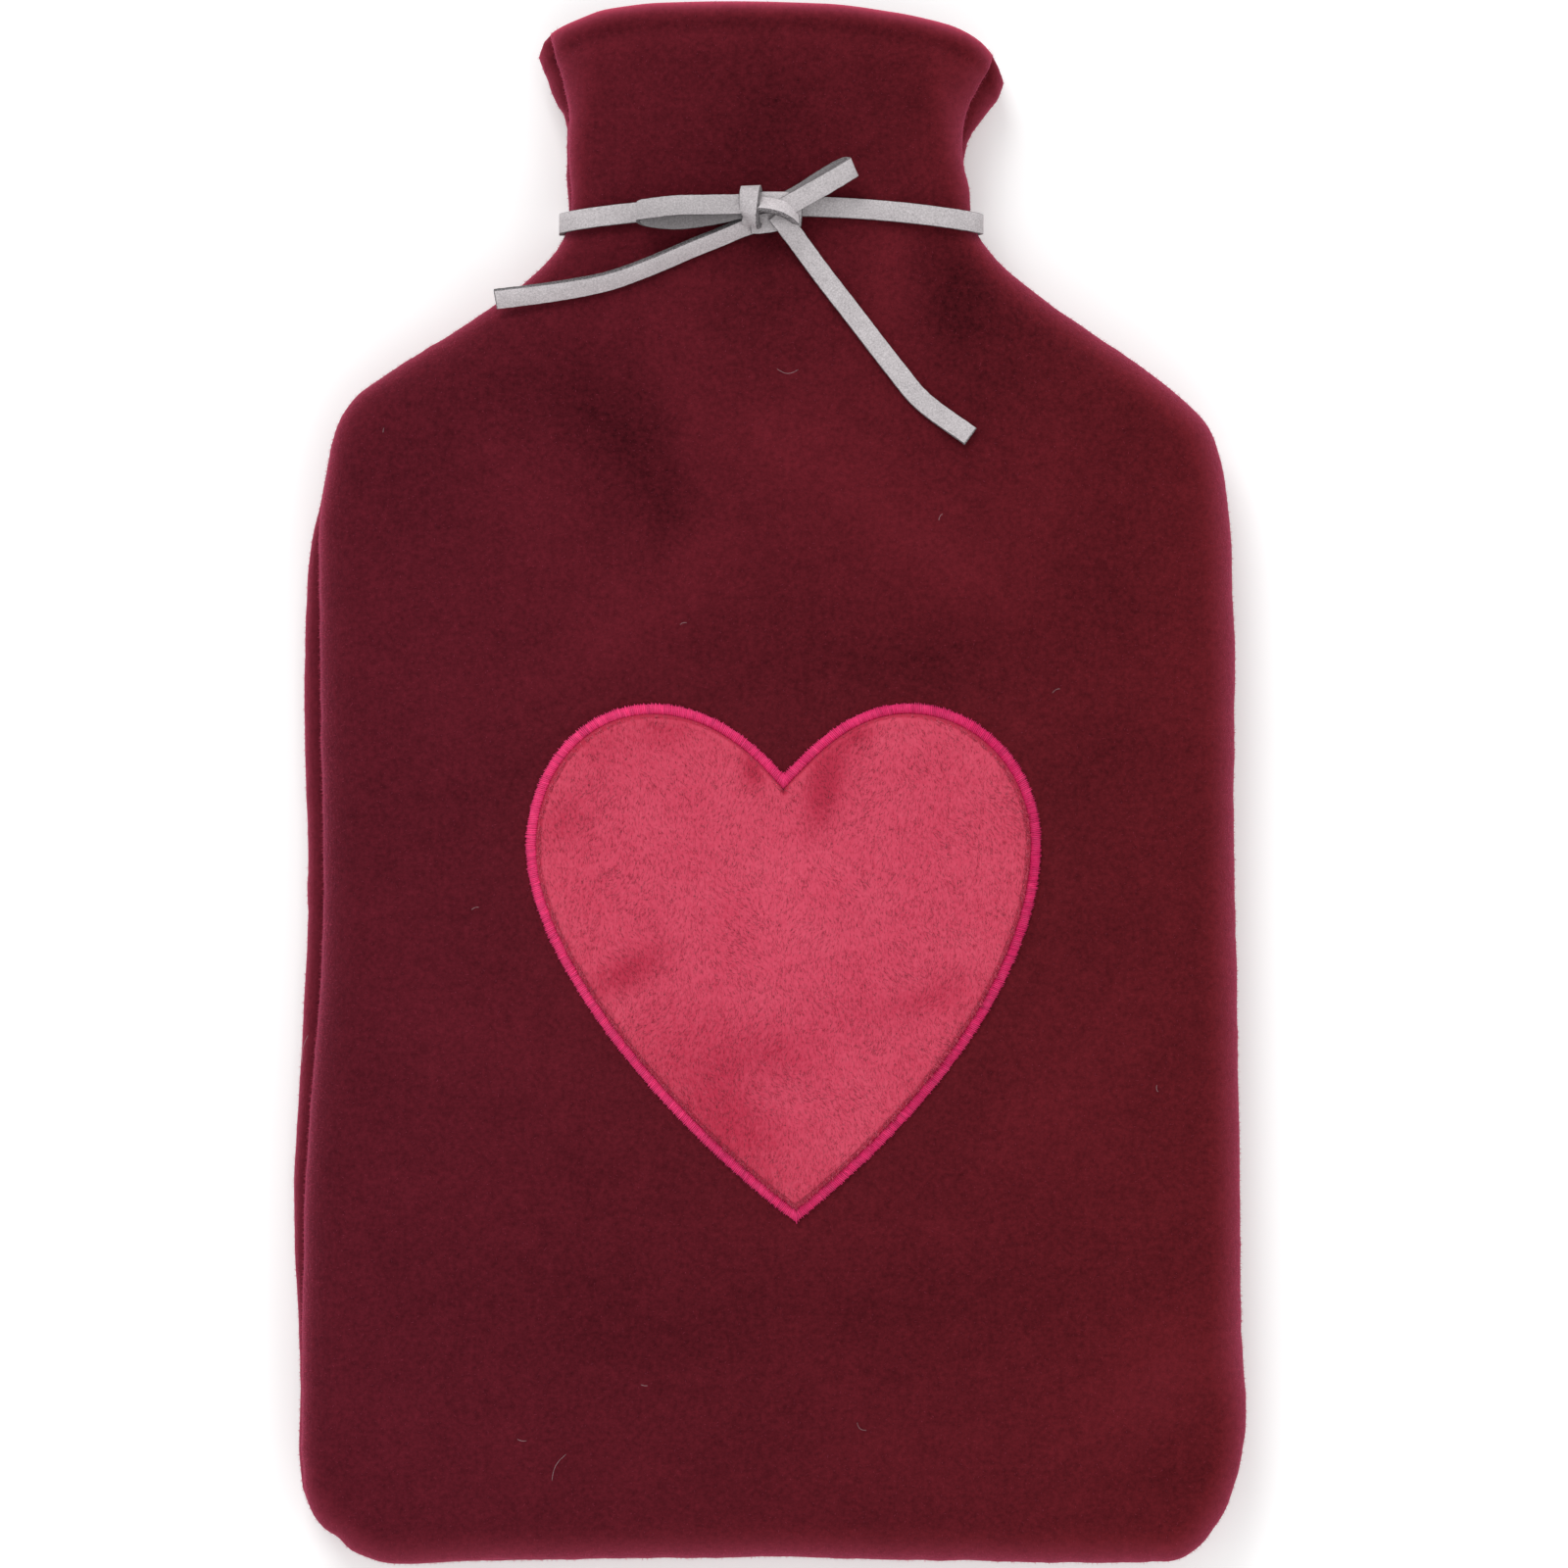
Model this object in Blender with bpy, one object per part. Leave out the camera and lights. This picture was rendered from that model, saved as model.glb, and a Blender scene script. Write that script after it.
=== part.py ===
"""A fleece hot water bottle cover with a plush heart and a lace bow, lying on its back.

The cover is a hollow sewn pouch, open at the neck. X runs across it, +Y up to the neck and +Z out
of its face. The origin is on the surface it lies on, under the middle of the cover. The tables
and sizes are in millimetres, and every mesh is made in metres.
"""
import math

import bmesh
import bpy
from mathutils import Vector
from mathutils.geometry import interpolate_bezier

MM = 0.001

# ---- cloth -------------------------------------------------------------------------------
CLOTH = 2.2             # thickness of the fleece
SQUEEZE = 0.72          # share of that left inside the tight bend of a rolled edge
HEM = 3.8               # thickness of the turned hem round the neck
HEM_DEPTH = 8.0         # how far the hem is turned in
HEM_STITCH = 4.4        # topstitching below the hem's edge
STITCH_DIP = 0.6        # how far the topstitching pulls the fleece in
STITCH_REACH = 1.0
LIP_DROP = 0.9          # rounding of the hem's edge
GAP = 0.3               # between pieces that touch

# ---- pouch -------------------------------------------------------------------------------
FRONT_ROLL = 9.0        # plan width of the front's rolled edge
BACK_ROLL = 8.0
GROOVE = 2.0            # how deep the side seam is drawn in
CURL = 3.4              # height from the seam to the widest place of each panel
CURL_END = math.radians(150)
MOUTH_Y = 156.0         # level of the neck's rim before its arch
TIE_Y = 123.0
BOTTOM_Y = -170.0
BOTTOM_SLOPE = 62.0     # how far from the bottom edge the crown is full
CROWN_REACH = 0.78      # share of the half width over which the front rises
CROWN_POWER = 2.2

CORNER_STEPS = 24       # points of the outline round each bottom corner
BOTTOM_STEPS = 160
OUTLINE_SMOOTHING = 6
WAY_REACH = 2           # points to each side from which the outline's way is read
LEVEL_REACH = 26.0      # length below the rim in which the cross lines come level

# The outline seen from above. A tuck is how far the front's edge lies inside the back's, and
# a negative one how far the back's lies inside the front's.
OUTLINE_COLUMNS = ("place", "y", "left", "right", "tuck_left", "tuck_right")
OUTLINE_ROWS = (
    ("rim", 156.0, -50.5, 51.3, 2.6, 2.4),
    ("below rim", 150.0, -48.3, 49.0, 2.2, 2.2),
    ("flare", 144.0, -45.5, 45.2, 1.4, 1.5),
    ("pinch", 138.0, -44.3, 42.4, 0.5, 0.4),
    ("below pinch", 131.0, -44.0, 43.4, 0.6, -0.6),
    ("tie", 123.0, -43.4, 43.8, 0.4, -0.8),
    ("neck root", 116.0, -46.2, 47.2, 0.0, -1.0),
    ("slope start", 109.0, -53.0, 54.4, 0.0, -1.2),
    ("slope", 100.0, -65.6, 66.6, 0.0, -1.2),
    ("slope end", 90.0, -81.8, 81.4, 0.0, -1.2),
    ("shoulder", 83.0, -91.2, 90.4, 0.0, -1.2),
    ("below shoulder", 76.0, -94.6, 96.2, 0.0, -1.2),
    ("upper side", 62.0, -97.6, 99.4, 0.3, -1.3),
    ("groove start", 48.0, -100.4, 100.4, 1.8, -1.4),
    ("groove", 22.0, -101.5, 100.9, 3.2, -1.5),
    ("heart side", -18.0, -100.8, 101.1, 3.2, -1.5),
    ("waist", -58.0, -102.1, 101.8, 2.8, -1.5),
    ("low side", -88.0, -103.7, 102.3, 2.4, -1.5),
    ("groove end", -120.0, -102.8, 102.6, 1.0, -1.5),
    ("bulge", -138.0, -102.4, 103.8, 0.8, -1.5),
    ("low corner", -148.0, -102.9, 102.5, 1.0, -1.2),
    ("bottom", -162.0, -100.4, 98.0, 0.4, -0.4),
)
# The two bottom corners are arcs from the side's end to the bottom edge, in degrees.
CORNER_COLUMNS = ("side", "x", "y", "radius", "start", "end")
CORNER_ROWS = (
    ("left", -79.8, -146.8, 23.3, 180.0, 270.0),
    ("right", 85.6, -157.2, 12.1, -20.0, -90.0),
)
# The bottom edge between them.
BOTTOM_COLUMNS = ("x", "y")
BOTTOM_ROWS = (
    (-79.8, -170.1), (-61.0, -169.4), (-39.0, -168.9), (-18.0, -168.4), (3.0, -168.1),
    (24.0, -168.7), (46.0, -168.9), (67.0, -169.3), (85.6, -169.3),
)
# Heights along the pouch: the side seam, the top of the front's rolled edge, the middle of the
# front, and the back's underside, which lies on the surface below the shoulders.
HEIGHT_COLUMNS = ("place", "y", "seam", "brow", "crown", "lift")
HEIGHT_ROWS = (
    ("rim", 156.0, 11.0, 18.6, 22.6, 1.0),
    ("pinch", 138.0, 11.0, 18.2, 20.8, 2.0),
    ("tie", 123.0, 11.0, 18.0, 20.0, 2.2),
    ("neck root", 112.0, 10.6, 18.0, 21.0, 1.6),
    ("slope", 98.0, 10.0, 18.0, 23.0, 0.7),
    ("shoulder", 82.0, 9.4, 18.0, 25.0, 0.0),
    ("chest", 50.0, 9.2, 18.0, 26.8, 0.0),
    ("heart", -20.0, 9.0, 18.0, 27.6, 0.0),
    ("low", -110.0, 9.0, 18.0, 26.6, 0.0),
    ("bottom", -170.0, 9.0, 16.6, 24.0, 0.0),
)
# The rim of the neck seen from above, arched over the mouth.
RIM_COLUMNS = ("x", "y")
RIM_ROWS = (
    (-50.5, 158.8), (-48.8, 162.6), (-42.0, 166.2), (-35.0, 168.4), (-24.0, 169.8), (-8.0, 170.1),
    (12.0, 169.8), (28.0, 167.9), (38.0, 165.8), (44.4, 163.2), (49.0, 158.8), (51.3, 153.2),
)
# Soft folds of the front: a ridge has a positive rise and a trough a negative one.
FOLD_COLUMNS = ("fold", "x", "y", "heading", "length", "width", "rise")
FOLD_ROWS = (
    ("dent under the bow", -29.0, 73.0, -62.0, 44.0, 13.0, -2.6),
    ("dent towards the shoulder", -44.0, 86.0, 20.0, 36.0, 9.0, -1.2),
    ("ridge right of the dent", -17.0, 78.0, -70.0, 46.0, 7.0, 1.1),
    ("ridge under the dent", -30.0, 39.0, 38.0, 46.0, 9.0, 1.5),
    ("ridge from the bow", 27.0, 63.0, -41.0, 60.0, 12.0, 1.6),
    ("trough over the heart", 6.0, 34.0, 4.0, 40.0, 12.0, -0.9),
    ("trough right of the heart", 49.0, 32.0, 30.0, 36.0, 9.0, -1.2),
    ("streak in the neck", 25.0, 106.0, 92.0, 30.0, 5.0, 0.8),
    ("trough in the neck", 36.5, 108.0, 84.0, 30.0, 5.5, -1.5),
    ("crease under the pinch", 34.0, 146.0, 112.0, 24.0, 4.0, 0.8),
    ("crease under the left rim", -39.0, 148.0, 78.0, 26.0, 4.0, 0.8),
    ("left flank swell", -72.0, -52.0, -25.0, 54.0, 13.0, 0.9),
    ("right flank swell", 58.0, -68.0, 40.0, 50.0, 14.0, 0.8),
    ("right low swell", 80.0, -132.0, 25.0, 40.0, 10.0, 1.1),
    ("right corner trough", 86.0, -145.0, 22.0, 38.0, 7.0, -1.3),
    ("low trough", -10.0, -118.0, -6.0, 90.0, 20.0, -0.7),
)

# ---- panels' meshes ----------------------------------------------------------------------
FRONT_CURVE = (150, 118, 88, 62, 34, 0)         # degrees round the rolled edge, seam first
BACK_CURVE = (150, 104, 70, 36, 0)
# Distances of the rows down the side from the rim as far as the shoulders, then how many evenly
# spaced rows follow, then distances of the last rows from the bottom corner's turn.
FRONT_ROWS = (0.0, 1.4, 3.2, HEM_STITCH, 5.8, 9.6, 14.0, 18.0, 22.0, 26.0, 29.5, 32.5, 35.5, 38.5,
              42.0, 46.5, 52.0, 58.0, 65.0, 72.0, 79.0, 85.0, 90.0, 95.0, 100.0, 106.0, 114.0)
FRONT_SIDE_ROWS = 15
FRONT_CORNER_ROWS = (27.0, 19.0, 13.5, 9.0, 5.5, 2.5, 0.0)
BACK_ROWS = (0.0, 1.4, HEM_STITCH, 10.0, 16.0, 22.0, 26.5, 29.5, 32.5, 35.5, 38.5, 43.0, 50.0,
             58.0, 68.0, 80.0, 88.0, 95.0, 102.0, 112.0)
BACK_SIDE_ROWS = 10
BACK_CORNER_ROWS = (24.0, 14.0, 8.0, 3.5, 0.0)
# Distances of the first and last columns from the corners' turns, and how many lie between.
FRONT_COLUMN_ENDS = (0.0, 3.0, 6.5, 11.0)
FRONT_COLUMNS = 15
BACK_COLUMN_ENDS = (0.0, 4.0, 10.0)
BACK_COLUMNS = 9

# ---- heart -------------------------------------------------------------------------------
# Corners and crests of the heart's outline, with the headings of the line through them, in
# degrees, and how far it keeps to them before and after.
HEART_COLUMNS = ("place", "x", "y", "heading_in", "heading_out", "before", "after")
HEART_ROWS = (
    ("tip", 5.8, -94.3, 221.0, 142.0, 34.0, 32.0),
    ("left side", -52.9, -14.0, 90.0, 90.0, 26.5, 17.5),
    ("left crest", -25.5, 17.5, 0.0, 0.0, 16.0, 12.0),
    ("notch", 3.1, 2.2, -49.0, 47.0, 11.0, 10.0),
    ("right crest", 30.3, 17.6, 0.0, 0.0, 12.0, 16.0),
    ("right side", 58.8, -13.0, -90.0, -90.0, 17.0, 27.0),
)
HEART_STEPS = 9         # points along each stretch of the outline
HEART_RINGS = 6
HEART_SPREAD = 1.15     # above 1 the rings are closer together at the edge
HEART_CENTRE = (3.2, -30.0)
PLUSH = 2.0             # thickness of the heart
PLUSH_EDGE = 1.2        # thickness at its edge
EDGING_WIDTH = 2.8
EDGING_HEIGHT = 1.7
# Its section, as shares of its width and height.
EDGING_PROFILE = ((0.0, 0.0), (0.0, 0.55), (0.3, 1.0), (0.7, 1.0), (1.0, 0.55), (1.0, 0.0))
SEAT = 0.4              # clearance of what is sewn on, over the fleece's facets

# ---- lace --------------------------------------------------------------------------------
LACE_WIDTH = 4.4
LACE_THICK = 1.3
BAND_CLEARANCE = 0.6
BAND_LEVEL = 125.7      # Y of the band at the knot
BAND_FALL = 3.6         # how much lower it is at the neck's sides
NECK_HALF = 44.0
BAND_CURVE_STEPS = 6
LACE_STEP = 1.4         # distance between the lace's sections
ROUTE_PARTS = 24        # steps between two points of a route, before they are evened out
# Routes of the loops and ends by hand: the middle of the lace, then the way its width points seen
# from above and how much that way rises, in degrees.
ROUTE_COLUMNS = ("x", "y", "z", "way", "lean")
ROUTES = {
    "tie_end_left": (
        (-5.8, 121.0, 22.4, 112, 12), (-10.5, 119.0, 22.6, 113, 22), (-16.3, 116.7, 22.9, 114, 30),
        (-26.2, 112.5, 23.1, 112, 33), (-35.3, 109.2, 22.8, 107, 32), (-46.0, 107.0, 22.0, 100, 29),
        (-59.6, 105.1, 20.6, 98, 26),
    ),
    "tie_end_right": (
        (3.6, 121.2, 21.6, 38, 0), (6.4, 117.6, 21.7, 37, 0), (11.8, 110.4, 22.4, 37, -2),
        (18.7, 101.5, 23.9, 38, -3), (27.5, 90.1, 25.5, 40, -3), (33.6, 83.0, 26.0, 46, -4),
        (43.8, 75.5, 26.4, 55, -8),
    ),
    "bow_loop_left": (
        (-6.4, 126.0, 26.6, 90, 3), (-12.0, 126.0, 27.2, 90, 4), (-20.0, 125.9, 27.5, 90, 4),
        (-25.6, 125.3, 27.2, 90, 5), (-28.0, 124.6, 26.0, 90, 8), (-26.4, 123.4, 24.7, 91, 8),
        (-20.0, 122.8, 24.3, 92, 4), (-12.0, 123.8, 24.3, 92, 2), (-6.4, 125.4, 24.6, 90, 0),
    ),
    "bow_loop_right": (
        (7.2, 127.6, 26.4, 118, 6), (10.8, 129.6, 27.0, 118, 10), (14.6, 131.7, 27.3, 117, 12),
        (17.4, 133.4, 27.0, 116, 14), (18.7, 134.3, 25.8, 115, 16), (17.0, 134.3, 24.5, 116, 14),
        (13.8, 132.8, 24.0, 117, 8), (10.4, 130.6, 23.6, 118, 4), (7.0, 128.4, 23.7, 118, 2),
    ),
}
# The knot's wrap goes over its front from the upper side to the lower, and the turn slants
# out of the wrap to the right.
KNOT_CENTRE = (1.0, 124.9, 24.8)
KNOT_SIZE = (11.4, 7.6, 4.0)
KNOT_ROUND = 1.4
WRAP_ROUTE = (
    (-3.0, 129.0, 23.6, 0, 0), (-3.2, 129.2, 26.0, 2, 0), (-3.6, 127.2, 27.8, 4, 0),
    (-3.8, 124.6, 28.1, 6, -4), (-3.8, 122.4, 27.4, 4, -8), (-3.6, 120.8, 25.8, 2, -6),
    (-3.4, 120.6, 24.0, 0, 0),
)
TURN_ROUTE = (
    (-2.6, 126.6, 26.4, 88, 4), (0.6, 126.4, 27.4, 86, 4), (4.0, 125.4, 27.2, 72, 0),
    (6.6, 123.8, 25.8, 60, -6), (6.8, 122.8, 24.2, 55, -6),
)

# ---- finishes: colour and roughness ------------------------------------------------------
FLEECE = ((0.105, 0.012, 0.019), 0.95)
PLUSH_PILE = ((0.56, 0.055, 0.105), 0.85)
SATIN_THREAD = ((0.60, 0.025, 0.125), 0.45)
SUEDE_LACE = ((0.50, 0.46, 0.475), 0.9)
SHARP_ANGLE = math.radians(50)


def clear_scene():
    for item in list(bpy.data.objects):
        bpy.data.objects.remove(item, do_unlink=True)


def table(columns, rows):
    return [dict(zip(columns, row)) for row in rows]


class Track:
    """A smooth line without overshoot through one column of a table."""

    def __init__(self, rows, along, column):
        pairs = sorted((row[along], row[column]) for row in rows)
        self.places = [pair[0] for pair in pairs]
        self.values = [pair[1] for pair in pairs]
        steps = [b - a for a, b in zip(self.places, self.places[1:])]
        rises = [b - a for a, b in zip(self.values, self.values[1:])]
        grades = [rise / step for rise, step in zip(rises, steps)]
        self.slopes = [grades[0]]
        for before, after in zip(grades, grades[1:]):
            same_way = before * after > 0
            self.slopes.append(2 * before * after / (before + after) if same_way else 0.0)
        self.slopes.append(grades[-1])

    def __call__(self, place):
        place = min(max(place, self.places[0]), self.places[-1])
        index = 0
        while index < len(self.places) - 2 and place > self.places[index + 1]:
            index += 1
        step = self.places[index + 1] - self.places[index]
        t = (place - self.places[index]) / step
        low = self.values[index]
        high = self.values[index + 1]
        lean_low = self.slopes[index] * step
        lean_high = self.slopes[index + 1] * step
        return (low * (1 + 2 * t) * (1 - t) ** 2 + lean_low * t * (1 - t) ** 2
                + high * t * t * (3 - 2 * t) - lean_high * t * t * (1 - t))


OUTLINE = table(OUTLINE_COLUMNS, OUTLINE_ROWS)
HEIGHTS = table(HEIGHT_COLUMNS, HEIGHT_ROWS)
CORNERS = {row["side"]: row for row in table(CORNER_COLUMNS, CORNER_ROWS)}
FOLDS = table(FOLD_COLUMNS, FOLD_ROWS)

edge_at = {name: Track(OUTLINE, "y", name) for name in OUTLINE_COLUMNS[2:]}
height_at = {name: Track(HEIGHTS, "y", name) for name in HEIGHT_COLUMNS[2:]}
rim_at = Track(table(RIM_COLUMNS, RIM_ROWS), "x", "y")
bottom_at = Track(table(BOTTOM_COLUMNS, BOTTOM_ROWS), "x", "y")


def smooth_step(t):
    t = min(max(t, 0.0), 1.0)
    return t * t * (3 - 2 * t)


# ---- the outline in plan -----------------------------------------------------------------
def side_points(side):
    """Points down one side, each with the front's tuck there."""
    corner = CORNERS[side]
    end_y = corner["y"] + corner["radius"] * math.sin(math.radians(corner["start"]))
    count = int(MOUTH_Y - end_y)
    points = []
    for step in range(count):
        y = MOUTH_Y + (end_y - MOUTH_Y) * step / count
        points.append((edge_at[side](y), y, edge_at["tuck_" + side](y)))
    return points


def corner_points(side):
    corner = CORNERS[side]
    start = math.radians(corner["start"])
    end = math.radians(corner["end"])
    points = []
    for step in range(CORNER_STEPS + 1):
        angle = start + (end - start) * step / CORNER_STEPS
        x = corner["x"] + corner["radius"] * math.cos(angle)
        y = corner["y"] + corner["radius"] * math.sin(angle)
        points.append((x, y, edge_at["tuck_" + side](y)))
    return points


def outline_line():
    """The whole outline from the left rim round the bottom to the right rim, and its corners."""
    left = side_points("left")
    left_corner = corner_points("left")
    right_corner = corner_points("right")[::-1]
    right = side_points("right")[::-1]
    a = left_corner[-1]
    b = right_corner[0]
    bottom = []
    for step in range(1, BOTTOM_STEPS):
        t = step / BOTTOM_STEPS
        x = a[0] + (b[0] - a[0]) * t
        bottom.append((x, bottom_at(x), a[2] + (b[2] - a[2]) * t))
    line = left + left_corner + bottom + right_corner + right
    turn_left = len(left) + len(left_corner) // 2
    turn_right = len(left) + len(left_corner) + len(bottom) + len(right_corner) // 2
    for _ in range(OUTLINE_SMOOTHING):
        inner = [tuple((p[i] + 2 * q[i] + r[i]) / 4 for i in range(3))
                 for p, q, r in zip(line, line[1:], line[2:])]
        line = [line[0]] + inner + [line[-1]]
    return line, turn_left, turn_right


def along_line(line, first, last, shares):
    """Places on part of the outline at shares of its length: position, inward way and tuck."""
    part = line[first:last + 1]
    lengths = [0.0]
    for p, q in zip(part, part[1:]):
        lengths.append(lengths[-1] + math.hypot(q[0] - p[0], q[1] - p[1]))
    found = []
    index = 0
    for share in shares:
        goal = share * lengths[-1]
        while index < len(part) - 2 and lengths[index + 1] < goal:
            index += 1
        t = (goal - lengths[index]) / (lengths[index + 1] - lengths[index])
        p = part[index]
        q = part[index + 1]
        whole = first + index
        before = line[max(whole - WAY_REACH, 0)]
        after = line[min(whole + 1 + WAY_REACH, len(line) - 1)]
        place = Vector((p[0] + (q[0] - p[0]) * t, p[1] + (q[1] - p[1]) * t))
        way = Vector((after[0] - before[0], after[1] - before[1])).normalized()
        slope = way.x * smooth_step((MOUTH_Y - place.y) / LEVEL_REACH)
        inward = Vector((-way.y, slope)).normalized()
        found.append((place, inward, p[2] + (q[2] - p[2]) * t))
    return found


def spaced(first, count, last, length):
    """Shares of a length: distances from its start, even steps, then distances from its end."""
    start = first[-1]
    end = length - last[0]
    middle = [start + (end - start) * step / (count + 1) for step in range(1, count + 1)]
    return [distance / length for distance in list(first) + middle + [length - d for d in last]]


def line_length(line, first, last):
    part = line[first:last + 1]
    return sum(math.hypot(q[0] - p[0], q[1] - p[1]) for p, q in zip(part, part[1:]))


# ---- heights -----------------------------------------------------------------------------
def fold_rise(x, y):
    """Height that the folds add to the front at one place."""
    rise = 0.0
    for fold in FOLDS:
        heading = math.radians(fold["heading"])
        dx = x - fold["x"]
        dy = y - fold["y"]
        along = (dx * math.cos(heading) + dy * math.sin(heading)) / (fold["length"] / 2)
        across = (-dx * math.sin(heading) + dy * math.cos(heading)) / fold["width"]
        rise += fold["rise"] * math.exp(-along ** 2 - across ** 2)
    return rise


def crown_share(x, y):
    """How much of the crown the front has at one place, from 0 at the sides and bottom."""
    left = edge_at["left"](y)
    right = edge_at["right"](y)
    reach = (right - left) / 2 * CROWN_REACH
    across = min(max(min(x - left, right - x) / reach, 0.0), 1.0)
    along = min(max((y - BOTTOM_Y) / BOTTOM_SLOPE, 0.0), 1.0)
    return (1 - (1 - across) ** CROWN_POWER) * (1 - (1 - along) ** CROWN_POWER)


def hem_dip(y):
    return STITCH_DIP * math.exp(-((MOUTH_Y - y - HEM_STITCH) / STITCH_REACH) ** 2)


def front_height(x, y, turn=0.0):
    """Outer height of the front, where turn is the angle round its rolled edge."""
    seam = height_at["seam"](y)
    brow = height_at["brow"](y)
    widest = seam + CURL
    if turn > math.pi / 2:
        return widest + CURL * math.cos(turn) / -math.cos(CURL_END)
    crown = (height_at["crown"](y) - brow) * crown_share(x, y)
    relief = fold_rise(x, y) - hem_dip(y)
    return widest + (brow - widest + relief) * math.cos(turn) + crown


def back_height(y, turn=0.0):
    """Outer height of the back, which is level where it lies on the surface."""
    widest = height_at["seam"](y) - CURL
    if turn > math.pi / 2:
        return widest - CURL * math.cos(turn) / -math.cos(CURL_END)
    return widest + (height_at["lift"](y) - widest) * math.cos(turn)


def arched(x, y):
    """Y of a place once the rim is raised into its arch, which is as wide as the neck there."""
    left = edge_at["left"](y)
    across = (x - left) / (edge_at["right"](y) - left)
    rim_left = edge_at["left"](MOUTH_Y)
    rise = rim_at(rim_left + (edge_at["right"](MOUTH_Y) - rim_left) * across) - MOUTH_Y
    return y + rise * smooth_step((y - TIE_Y) / (MOUTH_Y - TIE_Y))


# ---- the two panels ----------------------------------------------------------------------
class Panel:
    """Outer points of one panel: rings round its rolled edge, then rows across its middle."""

    def __init__(self, is_front, curve, row_plan, column_ends, column_count):
        self.is_front = is_front
        self.turns = [math.radians(angle) for angle in curve]
        self.roll = FRONT_ROLL if is_front else BACK_ROLL
        line, turn_left, turn_right = outline_line()
        side = line_length(line, 0, turn_left)
        width = line_length(line, turn_left, turn_right)
        self.shares = spaced(*row_plan, side)
        self.across = spaced(column_ends, column_count, column_ends[::-1], width)
        self.rows = len(self.shares) - 1
        self.columns = len(self.across) - 1
        left = along_line(line, 0, turn_left, self.shares)
        bottom = along_line(line, turn_left, turn_right, self.across)
        back_up = [1 - share for share in self.shares[::-1]]
        right = along_line(line, turn_right, len(line) - 1, back_up)
        self.edge = left[:-1] + bottom + right[1:]

    def inset(self, tuck, turn):
        """Distance in from the outline of a place round the rolled edge."""
        own_tuck = max(tuck, 0.0) if self.is_front else max(-tuck, 0.0)
        other_tuck = max(-tuck, 0.0) if self.is_front else max(tuck, 0.0)
        if turn > math.pi / 2:
            run = (GROOVE + other_tuck) / (1 - math.sin(CURL_END))
            return own_tuck + run * (1 - math.sin(turn))
        return own_tuck + self.roll * (1 - math.sin(turn))

    def height(self, x, y, turn=0.0):
        if self.is_front:
            return front_height(x, y, turn)
        return back_height(y, turn)

    def ring_place(self, station, turn):
        """Level position of a station's place, before the rim is arched."""
        place, inward, tuck = self.edge[station]
        return place + inward * self.inset(tuck, turn)

    def middle_places(self):
        """Level positions of the middle's rows and columns, between the innermost ring's."""
        ring = [self.ring_place(station, self.turns[-1]) for station in range(len(self.edge))]
        rows = self.rows
        left = ring[:rows + 1]
        bottom = ring[rows:rows + self.columns + 1]
        right = ring[rows + self.columns:][::-1]
        places = []
        for row, down in enumerate(self.shares):
            line = []
            for column, across in enumerate(self.across):
                rim = left[0].lerp(right[0], across)
                sides = left[row].lerp(right[row], across)
                ends = rim.lerp(bottom[column], down)
                corners = rim.lerp(bottom[0].lerp(bottom[-1], across), down)
                line.append(sides + ends - corners)
            places.append(line)
        return places

    def point(self, place, turn=0.0):
        height = self.height(place.x, place.y, turn)
        return Vector((place.x, arched(place.x, place.y), height))


def panel_solid(name, panel):
    """One closed cloth solid from a panel's outer points."""
    sign = 1 if panel.is_front else -1
    mesh = bmesh.new()
    depth = {}
    seam_way = {}
    rings = []
    for turn in panel.turns:
        ring = []
        for station in range(len(panel.edge)):
            place = panel.ring_place(station, turn)
            point = panel.point(place, turn)
            if turn == panel.turns[0]:
                point.z += sign * GAP / 2
            vert = mesh.verts.new(point)
            hemmed = MOUTH_Y - place.y < HEM_DEPTH
            fullness = max(math.cos(turn), 0.0)
            squeeze = 1 - (1 - SQUEEZE) * math.sin(turn) ** 2
            depth[vert] = CLOTH * squeeze + (HEM - CLOTH) * fullness * hemmed
            if station in (0, len(panel.edge) - 1):
                vert.co.z -= sign * LIP_DROP * fullness
            if turn == panel.turns[0]:
                inward = panel.edge[station][1]
                seam_way[vert] = Vector((inward.x, inward.y, 0.0))
            ring.append(vert)
        rings.append(ring)
    rows = panel.rows
    columns = panel.columns
    inner = rings[-1]
    grid = []
    for row, line in enumerate(panel.middle_places()):
        grid_row = []
        for column, place in enumerate(line):
            if column == 0:
                vert = inner[row]
            elif column == columns:
                vert = inner[len(inner) - 1 - row]
            elif row == rows:
                vert = inner[rows + column]
            else:
                vert = mesh.verts.new(panel.point(place))
                depth[vert] = HEM if MOUTH_Y - place.y < HEM_DEPTH else CLOTH
            grid_row.append(vert)
        grid.append(grid_row)
    rim = [ring[0] for ring in rings] + grid[0][1:-1] + [ring[-1] for ring in rings][::-1]
    for vert in grid[0][1:-1]:
        vert.co.z -= sign * LIP_DROP
    faces = []
    for outer_ring, inner_ring in zip(rings, rings[1:]):
        for a, b, c, d in zip(outer_ring, outer_ring[1:], inner_ring[1:], inner_ring):
            faces.append((a, b, c, d))
    for upper, lower in zip(grid, grid[1:]):
        for a, b, c, d in zip(upper, lower, lower[1:], upper[1:]):
            faces.append((a, b, c, d))
    for face in faces:
        mesh.faces.new(face if panel.is_front else face[::-1])
    mesh.normal_update()
    thicken(mesh, depth, seam_way, set(rim))
    return mesh_object(name, mesh, FLEECE)


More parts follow.
